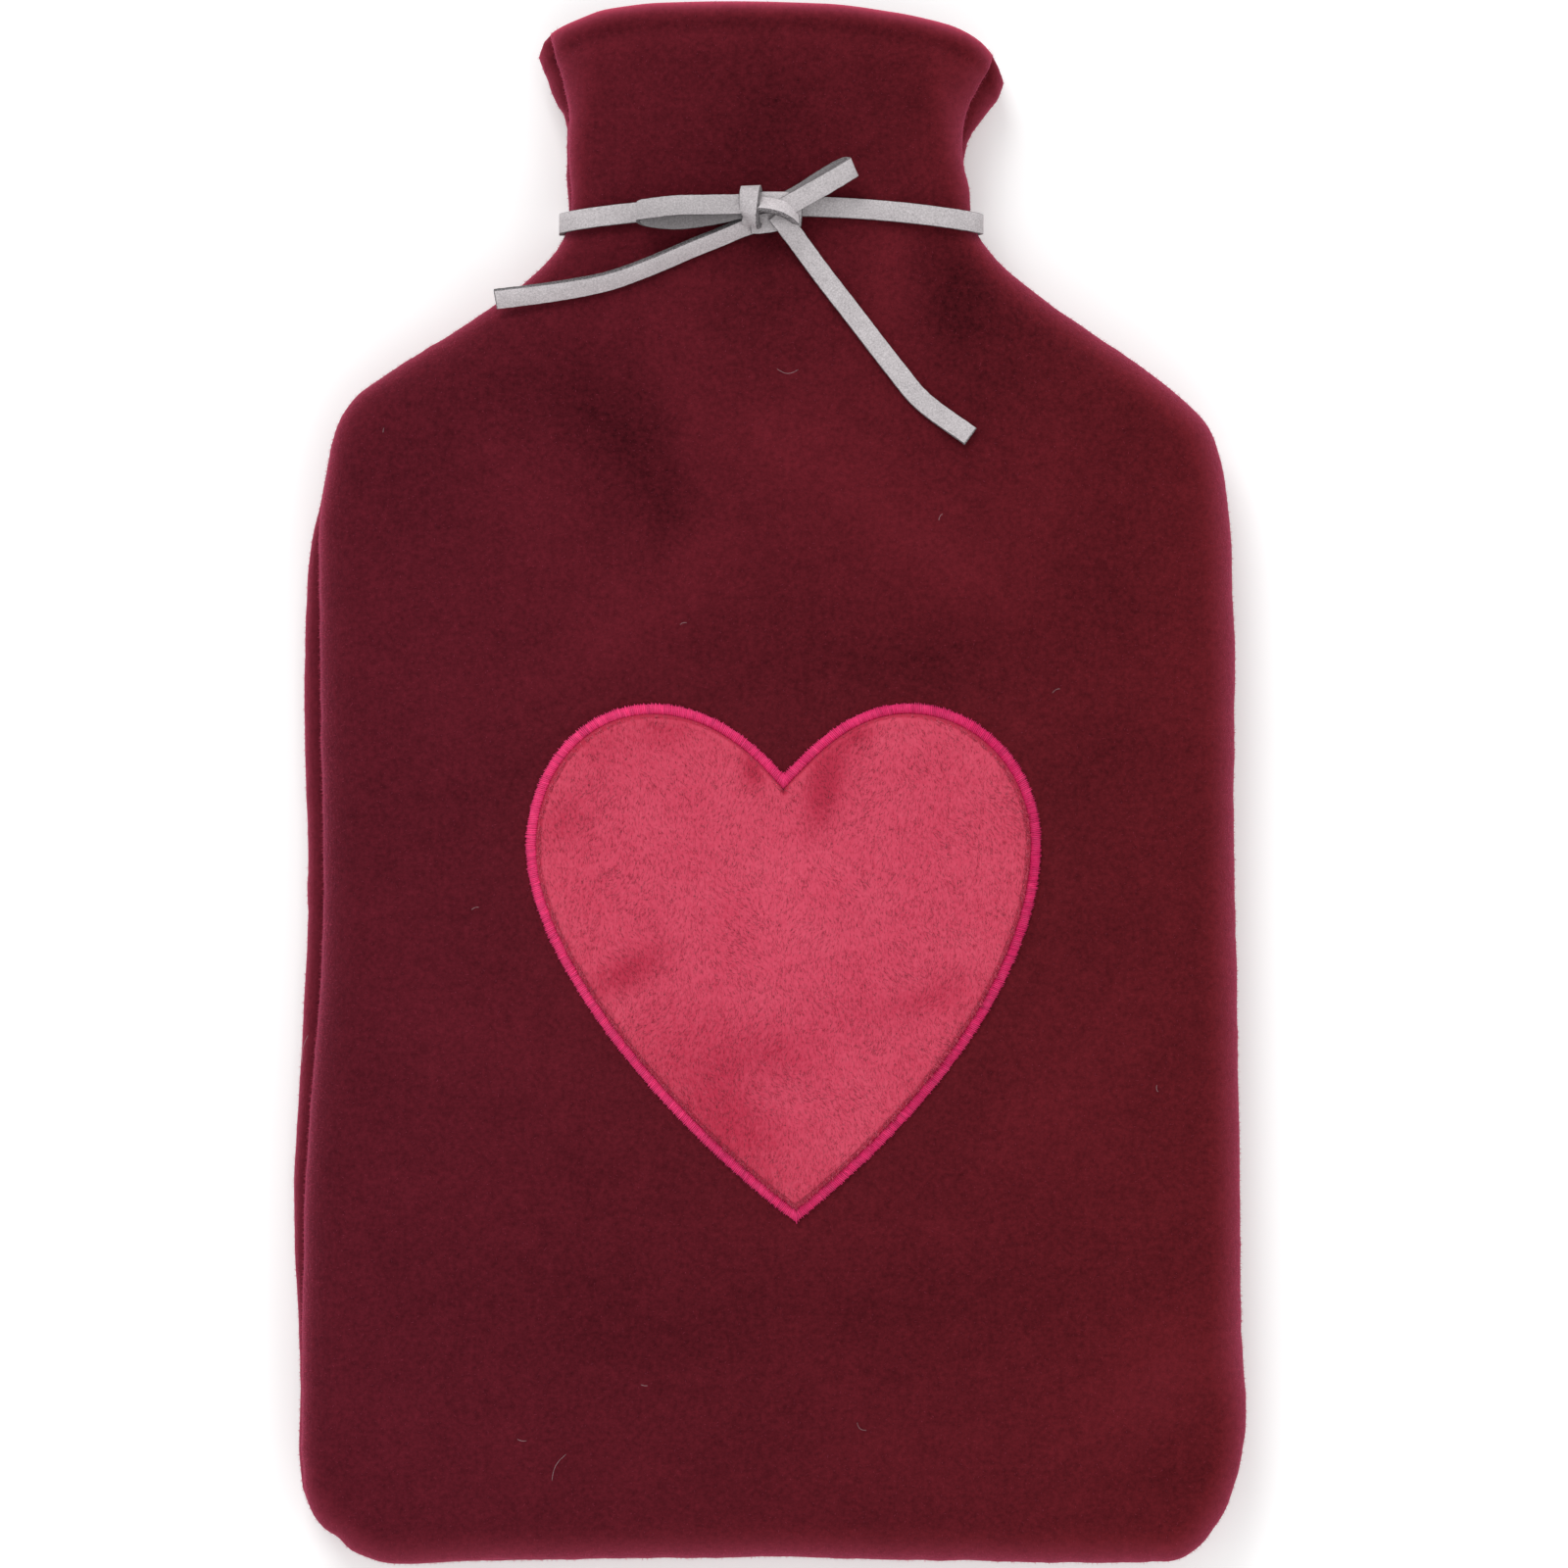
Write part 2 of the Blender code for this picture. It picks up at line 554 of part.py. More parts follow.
def thicken(mesh, depth, seam_way, rim):
    """Give an open sheet its inner face and close the edge between the two."""
    inner = {}
    outer_faces = list(mesh.faces)
    edges = [edge for edge in mesh.edges if edge.is_boundary]
    for vert in list(mesh.verts):
        inward = seam_way.get(vert, -vert.normal)
        if vert in rim:
            inward = Vector((inward.x, 0.0, inward.z)).normalized()
        inner[vert] = mesh.verts.new(vert.co + inward * depth[vert])
    for edge in edges:
        face = edge.link_faces[0]
        first = next(loop.vert for loop in face.loops if loop.edge == edge)
        second = edge.other_vert(first)
        mesh.faces.new((second, first, inner[first], inner[second]))
    for face in outer_faces:
        mesh.faces.new([inner[vert] for vert in face.verts][::-1])


def mesh_object(name, mesh, finish):
    """An object in metres from a mesh in millimetres, its quads split into triangles."""
    bmesh.ops.triangulate(mesh, faces=mesh.faces[:])
    bmesh.ops.scale(mesh, vec=(MM, MM, MM), verts=mesh.verts[:])
    data = bpy.data.meshes.new(name)
    mesh.to_mesh(data)
    mesh.free()
    data.shade_smooth()
    data.set_sharp_from_angle(angle=SHARP_ANGLE)
    item = bpy.data.objects.new(name, data)
    bpy.context.scene.collection.objects.link(item)
    data.materials.append(material(name, *finish))
    return item


def material(name, colour, roughness):
    made = bpy.data.materials.new(name)
    made.use_nodes = True
    shader = made.node_tree.nodes["Principled BSDF"]
    shader.inputs["Base Color"].default_value = (*colour, 1.0)
    shader.inputs["Roughness"].default_value = roughness
    shader.inputs["Metallic"].default_value = 0.0
    return made


# ---- heart -------------------------------------------------------------------------------
def heart_outline():
    """Points round the outer edge of the heart's border, clockwise from the tip."""
    rows = table(HEART_COLUMNS, HEART_ROWS)
    points = []
    for start, end in zip(rows, rows[1:] + rows[:1]):
        leaving = math.radians(start["heading_out"])
        arriving = math.radians(end["heading_in"])
        a = Vector((start["x"], start["y"]))
        b = Vector((end["x"], end["y"]))
        first = a + Vector((math.cos(leaving), math.sin(leaving))) * start["after"]
        second = b - Vector((math.cos(arriving), math.sin(arriving))) * end["before"]
        points += interpolate_bezier(a, first, second, b, HEART_STEPS + 1)[:-1]
    return [Vector((point.x, point.y)) for point in points]


def offset_loop(points, distance):
    """A closed clockwise loop moved inwards by a distance, with mitred corners."""
    moved = []
    count = len(points)
    for index, here in enumerate(points):
        before = (here - points[index - 1]).normalized()
        after = (points[(index + 1) % count] - here).normalized()
        normal = Vector((before.y + after.y, -before.x - after.x)).normalized()
        reach = normal.dot(Vector((before.y, -before.x)))
        moved.append(here + normal * distance / max(reach, 0.5))
    return moved


def heart_solid(outline):
    """The plush heart: rings of points from its edge to its middle, on the fleece."""
    mesh = bmesh.new()
    centre = Vector(HEART_CENTRE)
    edge = offset_loop(outline, EDGING_WIDTH + GAP)
    layers = []
    for is_top in (False, True):
        rings = []
        for ring_index in range(HEART_RINGS):
            share = 1 - (ring_index / HEART_RINGS) ** HEART_SPREAD
            ring = []
            for point in edge:
                place = centre.lerp(point, share)
                thickness = PLUSH_EDGE if ring_index == 0 else PLUSH
                level = front_height(place.x, place.y) + SEAT + thickness * is_top
                ring.append(mesh.verts.new((place.x, place.y, level)))
            rings.append(ring)
        level = front_height(*centre) + SEAT + PLUSH * is_top
        middle = mesh.verts.new((centre.x, centre.y, level))
        layers.append((rings, middle))
        for outer, inner in zip(rings, rings[1:]):
            add_band(mesh, outer, inner, is_top)
        last = rings[-1]
        for a, b in zip(last, last[1:] + last[:1]):
            mesh.faces.new((b, a, middle) if is_top else (a, b, middle))
    add_band(mesh, layers[0][0][0], layers[1][0][0], True)
    return mesh_object("heart", mesh, PLUSH_PILE)


def add_band(mesh, first, second, flip):
    """Faces between two closed loops of the same count."""
    count = len(first)
    for index in range(count):
        after = (index + 1) % count
        corners = (first[index], second[index], second[after], first[after])
        mesh.faces.new(corners if flip else corners[::-1])


def edging_solid(outline):
    """The satin border: a low rounded ridge round the heart."""
    mesh = bmesh.new()
    loops = []
    for across, up in EDGING_PROFILE:
        loop = []
        for place in offset_loop(outline, EDGING_WIDTH * across):
            level = front_height(place.x, place.y) + SEAT + EDGING_HEIGHT * up
            loop.append(mesh.verts.new((place.x, place.y, level)))
        loops.append(loop)
    for first, second in zip(loops, loops[1:] + loops[:1]):
        add_band(mesh, first, second, True)
    return mesh_object("heart_edging", mesh, SATIN_THREAD)


# ---- lace --------------------------------------------------------------------------------
def band_level(x):
    return BAND_LEVEL - BAND_FALL * (x / NECK_HALF) ** 2


def rolled_side(side, is_front, shift):
    """Section of one rolled edge under the band, from its widest place inwards."""
    inward = 1 if side == "left" else -1
    y = band_level(NECK_HALF) + shift
    tuck = edge_at["tuck_" + side](y) * (1 if is_front else -1)
    roll = FRONT_ROLL if is_front else BACK_ROLL
    points = []
    for step in range(BAND_CURVE_STEPS + 1):
        turn = math.pi / 2 * (1 - step / BAND_CURVE_STEPS)
        x = edge_at[side](y) + inward * (max(tuck, 0.0) + roll * (1 - math.sin(turn)))
        here = band_level(x) + shift
        height = front_height(x, here, turn) if is_front else back_height(here, turn)
        points.append(Vector((x, height)))
    return points


def neck_section(shift):
    """The cloth's section under the band, moved up the neck by a shift."""
    left = rolled_side("left", False, shift)[::-1] + rolled_side("left", True, shift)
    right = rolled_side("right", True, shift)[::-1] + rolled_side("right", False, shift)
    crown = []
    steps = 2 * BAND_CURVE_STEPS
    for step in range(1, steps):
        x = left[-1].x + (right[0].x - left[-1].x) * step / steps
        crown.append(Vector((x, front_height(x, band_level(x) + shift))))
    return left + crown + right


def band_solid():
    """The lace round the neck, drawn tight over the widest of the cloth under it."""
    half = LACE_WIDTH / 2
    sections = [neck_section(shift) for shift in (-half, 0.0, half)]
    middle = Vector((0.0, height_at["seam"](TIE_Y)))
    cloth = []
    for places in zip(*sections):
        widest = max(abs(place.x) for place in places)
        away = max(abs(place.y - middle.y) for place in places)
        x = math.copysign(widest, places[1].x)
        cloth.append(Vector((x, middle.y + math.copysign(away, places[1].y - middle.y))))
    under = offset_loop(cloth, -BAND_CLEARANCE)
    over = offset_loop(cloth, -BAND_CLEARANCE - LACE_THICK)
    mesh = bmesh.new()
    loops = []
    for line, shift in ((under, -half), (over, -half), (over, half), (under, half)):
        loops.append([mesh.verts.new((p.x, band_level(p.x) + shift, p.y)) for p in line])
    for first, second in zip(loops, loops[1:] + loops[:1]):
        add_band(mesh, first, second, True)
    bmesh.ops.recalc_face_normals(mesh, faces=mesh.faces[:])
    return mesh_object("tie_band", mesh, SUEDE_LACE)


def smooth_route(rows, step):
    """Evenly spaced rows of a route's columns, on a smooth line through its points."""
    points = [Vector(row) for row in rows]
    points = [points[0] * 2 - points[1]] + points + [points[-1] * 2 - points[-2]]
    fine = []
    for p, q, r, s in zip(points, points[1:], points[2:], points[3:]):
        for part in range(ROUTE_PARTS):
            t = part / ROUTE_PARTS
            fine.append(0.5 * (2 * q + (r - p) * t + (2 * p - 5 * q + 4 * r - s) * t * t
                               + (3 * q - p - 3 * r + s) * t ** 3))
    fine.append(points[-2])
    lengths = [0.0]
    for a, b in zip(fine, fine[1:]):
        lengths.append(lengths[-1] + (Vector(b[:3]) - Vector(a[:3])).length)
    count = max(2, round(lengths[-1] / step))
    even = []
    index = 0
    for part in range(count + 1):
        goal = lengths[-1] * part / count
        while index < len(fine) - 2 and lengths[index + 1] < goal:
            index += 1
        share = (goal - lengths[index]) / (lengths[index + 1] - lengths[index])
        even.append(fine[index].lerp(fine[index + 1], share))
    return even


def lace_mesh(rows):
    """A flat lace along a route, its width held to the route's ways."""
    mesh = bmesh.new()
    route = table(ROUTE_COLUMNS, smooth_route(rows, LACE_STEP))
    places = [Vector((point["x"], point["y"], point["z"])) for point in route]
    rings = []
    for index, point in enumerate(route):
        before = places[max(index - 1, 0)]
        after = places[min(index + 1, len(places) - 1)]
        along = (after - before).normalized()
        way = math.radians(point["way"])
        lean = math.radians(point["lean"])
        level = math.cos(lean)
        side = Vector((math.cos(way) * level, math.sin(way) * level, math.sin(lean)))
        side = (side - along * side.dot(along)).normalized()
        half = side * LACE_WIDTH / 2
        thick = side.cross(along) * LACE_THICK / 2
        corners = (half + thick, half - thick, -half - thick, -half + thick)
        rings.append([mesh.verts.new(places[index] + corner) for corner in corners])
    for first, second in zip(rings, rings[1:]):
        add_band(mesh, first, second, True)
    mesh.faces.new(rings[0])
    mesh.faces.new(rings[-1][::-1])
    bmesh.ops.recalc_face_normals(mesh, faces=mesh.faces[:])
    return mesh


def knot_solid():
    """The knot: a squeezed core with the wrap and the turn of the lace over it."""
    core = bmesh.new()
    bmesh.ops.create_cube(core, size=1.0)
    bmesh.ops.scale(core, vec=KNOT_SIZE, verts=core.verts[:])
    bmesh.ops.translate(core, vec=KNOT_CENTRE, verts=core.verts[:])
    bmesh.ops.bevel(core, geom=core.edges[:], offset=KNOT_ROUND, segments=2, affect="EDGES")
    knot = mesh_object("tie_knot", core, SUEDE_LACE)
    for name, rows in (("wrap_guide", WRAP_ROUTE), ("turn_guide", TURN_ROUTE)):
        strap = mesh_object(name, lace_mesh(rows), SUEDE_LACE)
        strap.hide_render = True
        strap.display_type = "WIRE"
        union = knot.modifiers.new(name, "BOOLEAN")
        union.operation = "UNION"
        union.object = strap
    return knot


def build():
    clear_scene()
    front_rows = (FRONT_ROWS, FRONT_SIDE_ROWS, FRONT_CORNER_ROWS)
    front = Panel(True, FRONT_CURVE, front_rows, FRONT_COLUMN_ENDS, FRONT_COLUMNS)
    back_rows = (BACK_ROWS, BACK_SIDE_ROWS, BACK_CORNER_ROWS)
    back = Panel(False, BACK_CURVE, back_rows, BACK_COLUMN_ENDS, BACK_COLUMNS)
    panel_solid("front_panel", front)
    panel_solid("back_panel", back)
    outline = heart_outline()
    heart_solid(outline)
    edging_solid(outline)
    band_solid()
    knot_solid()
    for name, rows in ROUTES.items():
        mesh_object(name, lace_mesh(rows), SUEDE_LACE)


build()
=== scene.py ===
"""The finished look of a fleece hot water bottle cover with a plush heart and a lace bow.

The cover lies on its back and is seen from straight above. X runs across it, +Y up to the neck and
+Z out of its face. Tables and sizes are in millimetres, and every mesh is made in metres.
"""
import math
import random

import bmesh
import bpy
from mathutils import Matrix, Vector, noise
from mathutils.geometry import interpolate_bezier


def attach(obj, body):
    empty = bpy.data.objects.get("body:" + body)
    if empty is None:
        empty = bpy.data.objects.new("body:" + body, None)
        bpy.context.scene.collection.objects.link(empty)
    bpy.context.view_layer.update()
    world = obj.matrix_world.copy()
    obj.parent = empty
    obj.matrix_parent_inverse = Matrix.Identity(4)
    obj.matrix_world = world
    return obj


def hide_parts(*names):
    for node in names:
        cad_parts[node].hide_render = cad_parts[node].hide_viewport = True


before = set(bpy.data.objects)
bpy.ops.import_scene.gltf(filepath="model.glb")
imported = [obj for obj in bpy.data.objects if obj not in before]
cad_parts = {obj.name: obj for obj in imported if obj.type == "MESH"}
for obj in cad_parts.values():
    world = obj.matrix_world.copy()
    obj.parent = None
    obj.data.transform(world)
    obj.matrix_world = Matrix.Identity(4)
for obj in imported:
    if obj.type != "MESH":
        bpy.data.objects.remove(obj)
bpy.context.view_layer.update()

MM = 0.001
TINY = 1e-9
SHARP_ANGLE = math.radians(60)
SEED = 7
draw = random.Random(SEED)

# ---- cloth -------------------------------------------------------------------------------
CLOTH = 2.2             # thickness of the fleece
SQUEEZE = 0.72          # share of that left inside the tight bend of a rolled edge
HEM = 3.8               # thickness of the turned hem round the neck
HEM_DEPTH = 8
HEM_STITCH = 4.4        # topstitching below the hem's edge
STITCH_DIP = 1          # how far the topstitching pulls the fleece in
STITCH_REACH = 1.2
STITCH_LENGTH = 2.9
STITCH_EVEN = 0.8       # share of the dip that stays in the middle of a stitch
GAP = 0.3               # between the two panels at the seam
BARE_EDGE = 0.15        # thickness left at the very edge of the rounded hem

# ---- pouch -------------------------------------------------------------------------------
FRONT_ROLL = 9          # plan width of the front's rolled edge
BACK_ROLL = 8
GROOVE = 2              # how deep the side seam is drawn in
CURL = 3.4              # height from the seam to the widest place of each panel
CURL_END = math.radians(150)
SEAM_FADE = math.radians(50)    # turn from the seam over which the cloth's swells begin
MOUTH_Y = 156           # level of the neck's rim before its arch
TIE_Y = 123
BOTTOM_Y = -170
BOTTOM_SLOPE = 62       # how far from the bottom edge the crown is full
CROWN_REACH = 0.78      # share of the half width over which the front rises
CROWN_POWER = 2.2
CORNER_STEPS = 24       # points of the outline round each bottom corner
BOTTOM_STEPS = 160
OUTLINE_SMOOTHING = 6
WAY_REACH = 2           # points to each side from which the outline's way is read
LEVEL_REACH = 26        # length below the rim in which the cross lines come level

# The outline seen from above. A tuck is how far the front's edge lies inside the back's, and
# a negative one how far the back's lies inside the front's.
OUTLINE_COLUMNS = ("place", "y", "left", "right", "tuck_left", "tuck_right")
OUTLINE_ROWS = (
    ("rim", 156, -50.5, 51.3, 2.6, 2.4),
    ("below rim", 150, -48.3, 49, 2.2, 2.2),
    ("flare", 144, -45.5, 44.1, 1.4, 1.4),
    ("pinch", 138, -44.3, 42.4, 0.5, 0.4),
    ("below pinch", 131, -44, 43.4, 0.6, -0.6),
    ("tie", 123, -43.4, 43.8, 0.4, -0.8),
    ("neck root", 116, -46.2, 47.2, 0, -1),
    ("slope start", 109, -53, 54.4, 0, -1.2),
    ("slope", 100, -65.6, 66.6, 0, -1.2),
    ("slope end", 90, -81.8, 81.4, 0, -1.2),
    ("shoulder", 83, -91.2, 90.4, 0, -1.2),
    ("below shoulder", 76, -94.6, 96.2, 0, -1.2),
    ("upper side", 62, -97.6, 99.4, 0.3, -1.3),
    ("groove start", 48, -100.4, 100.4, 2.6, -1.4),
    ("groove", 22, -101.5, 100.9, 4.1, -1.5),
    ("heart side", -18, -100.8, 101.1, 4.1, -1.5),
    ("waist", -58, -102.1, 101.8, 3.6, -1.5),
    ("low side", -88, -103.7, 102.3, 2.9, -1.5),
    ("groove end", -120, -102.8, 102.6, 1.3, -1.5),
    ("bulge", -138, -102.4, 103.8, 0.8, -1.5),
    ("low corner", -148, -102.9, 102.5, 1, -1.2),
    ("bottom", -162, -100.4, 98, 0.4, -0.4),
)
# The two bottom corners are arcs from the side's end to the bottom edge, in degrees.
CORNER_COLUMNS = ("side", "x", "y", "radius", "start", "end")
CORNER_ROWS = (
    ("left", -79.8, -146.8, 23.3, 180, 270),
    ("right", 85.6, -157.2, 12.1, -20, -90),
)
BOTTOM_COLUMNS = ("x", "y")
BOTTOM_ROWS = (
    (-79.8, -170.1), (-61, -169.4), (-39, -168.9), (-18, -168.4), (3, -168.1),
    (24, -168.7), (46, -168.9), (67, -169.3), (85.6, -169.3),
)
# Heights along the pouch: the side seam, the top of the front's rolled edge, the middle of the
# front, and the back's underside, which lies on the surface below the shoulders.
HEIGHT_COLUMNS = ("place", "y", "seam", "brow", "crown", "lift")
HEIGHT_ROWS = (
    ("rim", 156, 11, 18.6, 22.6, 1),
    ("pinch", 138, 11, 18.2, 20.8, 2),
    ("tie", 123, 11, 18, 20, 2.2),
    ("neck root", 112, 10.6, 18, 21, 1.6),
    ("slope", 98, 10, 18, 23, 0.7),
    ("shoulder", 82, 9.4, 18, 25, 0),
    ("chest", 50, 9.2, 18, 26.8, 0),
    ("heart", -20, 9, 18, 27.6, 0),
    ("low", -110, 9, 18, 26.6, 0),
    ("bottom", -170, 9, 16.6, 24, 0),
)
# The rim of the neck seen from above, arched over the mouth.
RIM_COLUMNS = ("x", "y")
RIM_ROWS = (
    (-50.5, 158.7), (-48.8, 162.3), (-42, 165.7), (-35, 167.8), (-24, 169.1), (-8, 169.4),
    (12, 168.9), (28, 166.9), (38, 164.8), (44.4, 162.3), (49, 158.3), (51.3, 153.2),
)
# Soft folds of the front: a ridge has a positive rise and a trough a negative one.
FOLD_COLUMNS = ("fold", "x", "y", "heading", "length", "width", "rise")
FOLD_ROWS = (
    ("dent under the bow", -29, 73, -62, 44, 13, -2.6),
    ("dent towards the shoulder", -44, 86, 20, 36, 9, -1.2),
    ("ridge right of the dent", -17, 78, -70, 46, 7, 1.1),
    ("ridge under the dent", -30, 39, 38, 46, 9, 1.5),
    ("ridge from the bow", 27, 63, -41, 60, 12, 1.6),
    ("trough over the heart", 6, 34, 4, 40, 12, -0.9),
    ("trough right of the heart", 49, 32, 30, 36, 9, -1.2),
    ("streak in the neck", 25, 106, 92, 30, 5, 0.8),
    ("trough in the neck", 36.5, 108, 84, 30, 5.5, -1.5),
    ("crease under the pinch", 34, 146, 112, 24, 4, 0.8),
    ("crease under the left rim", -39, 148, 78, 26, 4, 0.8),
    ("left flank swell", -72, -52, -25, 54, 13, 0.9),
    ("right flank swell", 58, -68, 40, 50, 14, 0.8),
    ("right low swell", 80, -132, 25, 40, 10, 1.1),
    ("right corner trough", 86, -145, 22, 38, 7, -1.3),
    ("low trough", -10, -118, -6, 90, 20, -0.7),
)
# Painted shade and painted highlight on the front, as shares of its colour: darker over its dents
# and troughs and in painted shadow round the knot, paler over its ridges and swells.
TONE_COLUMNS = ("patch", "x", "y", "heading", "length", "width", "tone")
FRONT_PAINTED_LIGHT_ROWS = (
    ("dent under the bow", -31, 75, -58, 40, 11, -0.38),
    ("dent's end", -21, 58, -60, 20, 7, -0.18),
    ("under the lace's left end", -54, 86, 30, 30, 8, -0.14),
    ("left of the dent", -51, 58, -70, 40, 9, 0.08),
    ("ridge under the dent", -31, 34, 38, 36, 7, 0.20),
    ("ridge's end", -13, 52, 40, 18, 6, 0.12),
    ("ridge from the bow", 4, 73, -28, 40, 9, 0.20),
    ("ridge's lower part", 36, 50, -36, 44, 8, 0.26),
    ("ridge's right end", 58, 60, 45, 24, 8, 0.09),
    ("right of the dent", -16, 77, -80, 34, 5.5, 0.12),
    ("under the knot", -2, 103, 80, 34, 12, -0.22),
    ("streak in the neck", 25.5, 110, 92, 30, 4, 0.16),
    ("trough in the neck", 40.5, 106, 84, 28, 8, -0.50),
    ("under the trough", 49, 90, 60, 36, 13, -0.20),
    ("right shoulder", 72, 88, -38, 50, 12, -0.12),
    ("left shoulder", -76, 66, 50, 60, 14, -0.10),
    ("over the heart", 24, 27, 0, 70, 9, -0.20),
    ("right of the ridge", 72, 40, 90, 80, 14, -0.10),
    ("left of the heart's top", -76, 20, -12, 44, 7, 0.07),
    ("under it", -72, -6, 10, 40, 10, -0.09),
    ("left flank", -68, -52, -34, 56, 9, 0.13),
    ("low left flank", -82, -100, 5, 30, 12, -0.06),
    ("right of the heart's top", 81, 24, 20, 36, 9, 0.08),
    ("under it, right", 74, 6, 10, 34, 8, -0.10),
    ("right flank", 62, -70, 42, 50, 10, 0.13),
    ("beside the heart's tip", 78, -34, 10, 30, 9, -0.08),
    ("low middle", -28, -116, -6, 70, 12, -0.15),
    ("low right", 40, -110, 4, 66, 10, -0.11),
    ("low left", -76, -140, -10, 40, 10, 0.05),
    ("right corner", 84, -130, 40, 40, 10, 0.30),
    ("right corner trough", 88, -149, 20, 34, 6, -0.10),
    ("neck beside the knot", -2, 143, 84, 44, 12, -0.26),
    ("neck's right side", 24, 144, 84, 40, 12, -0.14),
    ("neck's right streak", 37, 136, 80, 22, 5, 0.08),
    ("right crease", 38.5, 149, 100, 24, 3.5, 0.28),
    ("left crease", -41, 149, 80, 26, 3, 0.25),
    ("beside the dent's top", -44, 76, 25, 24, 7, -0.10),
    ("over the notch", 5, 40, 0, 26, 6, -0.10),
)
# Where the plush of the heart is brushed, and the painted shade of the small hole that the notch's
# stitches leave.
BRUSHED_AND_HOLE_SHADE_ROWS = (
    ("right lobe", 12, 0, 78, 20, 4, -0.45),
    ("beside the notch", -3.5, 3, 100, 8, 2.4, -0.34),
    ("right lobe's crest", 19, 10.5, 20, 8, 2.4, -0.24),
    ("left side", -31, -41, 28, 16, 3.5, -0.30),
    ("low left", -12, -70, -50, 44, 9, -0.24),
    ("low middle", -2, -58, 0, 22, 6, -0.20),
    ("right side", 32, -47, 20, 24, 4, -0.17),
    ("left edge", -44, -8, 40, 14, 5, -0.17),
    ("left crest", -26, 11, 10, 30, 4, -0.13),
    ("middle", 4, -24, 70, 40, 9, 0.08),
    ("notch hole", 3.2, -1.6, 90, 1.2, 0.35, -3),
)
# Small puckers where the seam pulls the edge in.
PUCKER_COLUMNS = ("x", "y", "reach", "pull")
PUCKER_ROWS = (
    (-93.5, -163.5, 2.8, 1.3), (-102.2, -149, 3.6, 0.6), (-44.6, 141.5, 3, 0.6),
    (42.6, 134.5, 3, 0.6), (92.4, -164.8, 2.8, 0.5),
)

# ---- panels' meshes ----------------------------------------------------------------------
FRONT_CURVE = (150, 138, 126, 114, 102, 90, 79, 68, 57, 46, 35, 24, 12, 0)
BACK_CURVE = (150, 135, 120, 105, 90, 76, 62, 48, 34, 17, 0)
RIM_LINES = (0, 0.2, 0.6, 1.2, 1.9, 2.7, 3.4, 4, 4.6, 5.3, 6.2, 7.4, 8, 8.4)
FRONT_LINE_STEP = 1.6   # distance between the mesh's cross lines and columns
BACK_LINE_STEP = 2.8
# Unevenness of the brushed cloth: lengths of its waves, and their heights.
SWELLS = ((43, 0.40), (17, 0.17), (6.5, 0.08), (2.9, 0.06))
EDGE_WAVES = ((9, 0.16), (3.1, 0.13))
SWELLS_APART = 90       # heights in the noise that keep the two panels' waves apart
EDGES_APART = 40

# Painted highlight: how much paler the standing nap is painted on a rolled edge, and from the hem's
# rim downwards.
EDGE_HIGHLIGHT = 1.60
LEFT_POWER = 6          # powers of the sine by which that fades from the edge over the front
RIGHT_POWER = 2
SIDES_SPAN = 200        # distance over which the left side's power turns into the right's
LEFT_END_Y = -138       # where the left side goes over to the right's power for the bottom edge
LEFT_END_REACH = 24
CURL_POWER = 8          # power by which it fades into the side seam
TUCK_SHADE = 0.15       # share of it lost for each millimetre that an edge lies inside the other
RIM_HIGHLIGHT = 4.4
RIM_FADE = 1.1
BACK_RIM = 0.35         # share of that on the back's rim
HEM_SHADE_AND_HIGHLIGHT = ((HEM_STITCH, 0.9, -0.18), (6.8, 1.3, 0.12))    # painted shade along the topstitching, then painted highlight below it: below the rim, reach and tone
NAP_HIGHLIGHT = 1.7          # and the painted highlight of the loose fibres there

# ---- heart -------------------------------------------------------------------------------
# Corners and crests of the heart's outline, with the headings of the line through them, in
# degrees, and how far it keeps to them before and after.
HEART_COLUMNS = ("place", "x", "y", "heading_in", "heading_out", "before", "after")
HEART_ROWS = (
    ("tip", 5.8, -95.8, 219, 143, 52.5, 40.5),
    ("left side", -53.2, -14, 90, 90, 22.5, 17.5),
    ("left crest", -25.5, 17.5, 0, 0, 16, 12),
    ("notch", 3.1, 2.2, -49, 47, 11, 10),
    ("right crest", 30.3, 17.6, 0, 0, 12, 16),
    ("right side", 59.3, -13, -90, -90, 17, 20.5),
)
HEART_STEPS = 60        # points along each stretch of the outline
BORDER_STRIDE = 5       # steps between those of them that the border's padding takes
PILE_STRIDE = 4         # and the pile's edge
NAP_STRIDE = 8          # and the bare patch of the nap
INSET_NEAR = 0.985      # share of its inset that a moved point has to keep
HEART_RINGS = 44
HEART_UNDER_RINGS = 6
HEART_POINT_STEP = 0.9  # distance between the points of its edge
HEART_CENTRE = (3.2, -30)
HEART_LEVEL = 28        # height of the border's top
PLUSH = 1.9             # thickness of the heart
PLUSH_EDGE = 0.9        # thickness at its edge, where the border presses it down
PLUSH_SHOULDER = 1.1    # how far in from the edge the plush is full
PLUSH_TUCK = 0.86       # share of the border's width that the plush stops short of
PLUSH_WAVES = ((14, 0.16), (3.6, 0.08), (1.5, 0.04))
PLUSH_CREASE_SHADE = -0.55    # painted shade of the plush where the border presses it down
CREASE_REACH = 0.35
BORDER_WIDTH = 2.8
BORDER_HEIGHT = 0.95    # of the padding under the threads
BORDER_PROFILE = ((0.1, 0), (0.12, 0.5), (0.32, 1), (0.68, 1), (0.88, 0.5), (0.9, 0))
THREAD = 0.21           # half the width of a thread
THREAD_PITCH = 0.39
THREAD_ARCH = 1.35
THREAD_SEAT = 0.25      # how far a stitch's ends go down into the cloth
THREAD_SLANT = 0.25     # how far a stitch leads along the border
THREAD_JITTER = 0.18
THREAD_TONES = 0.09     # how much the threads differ in tone
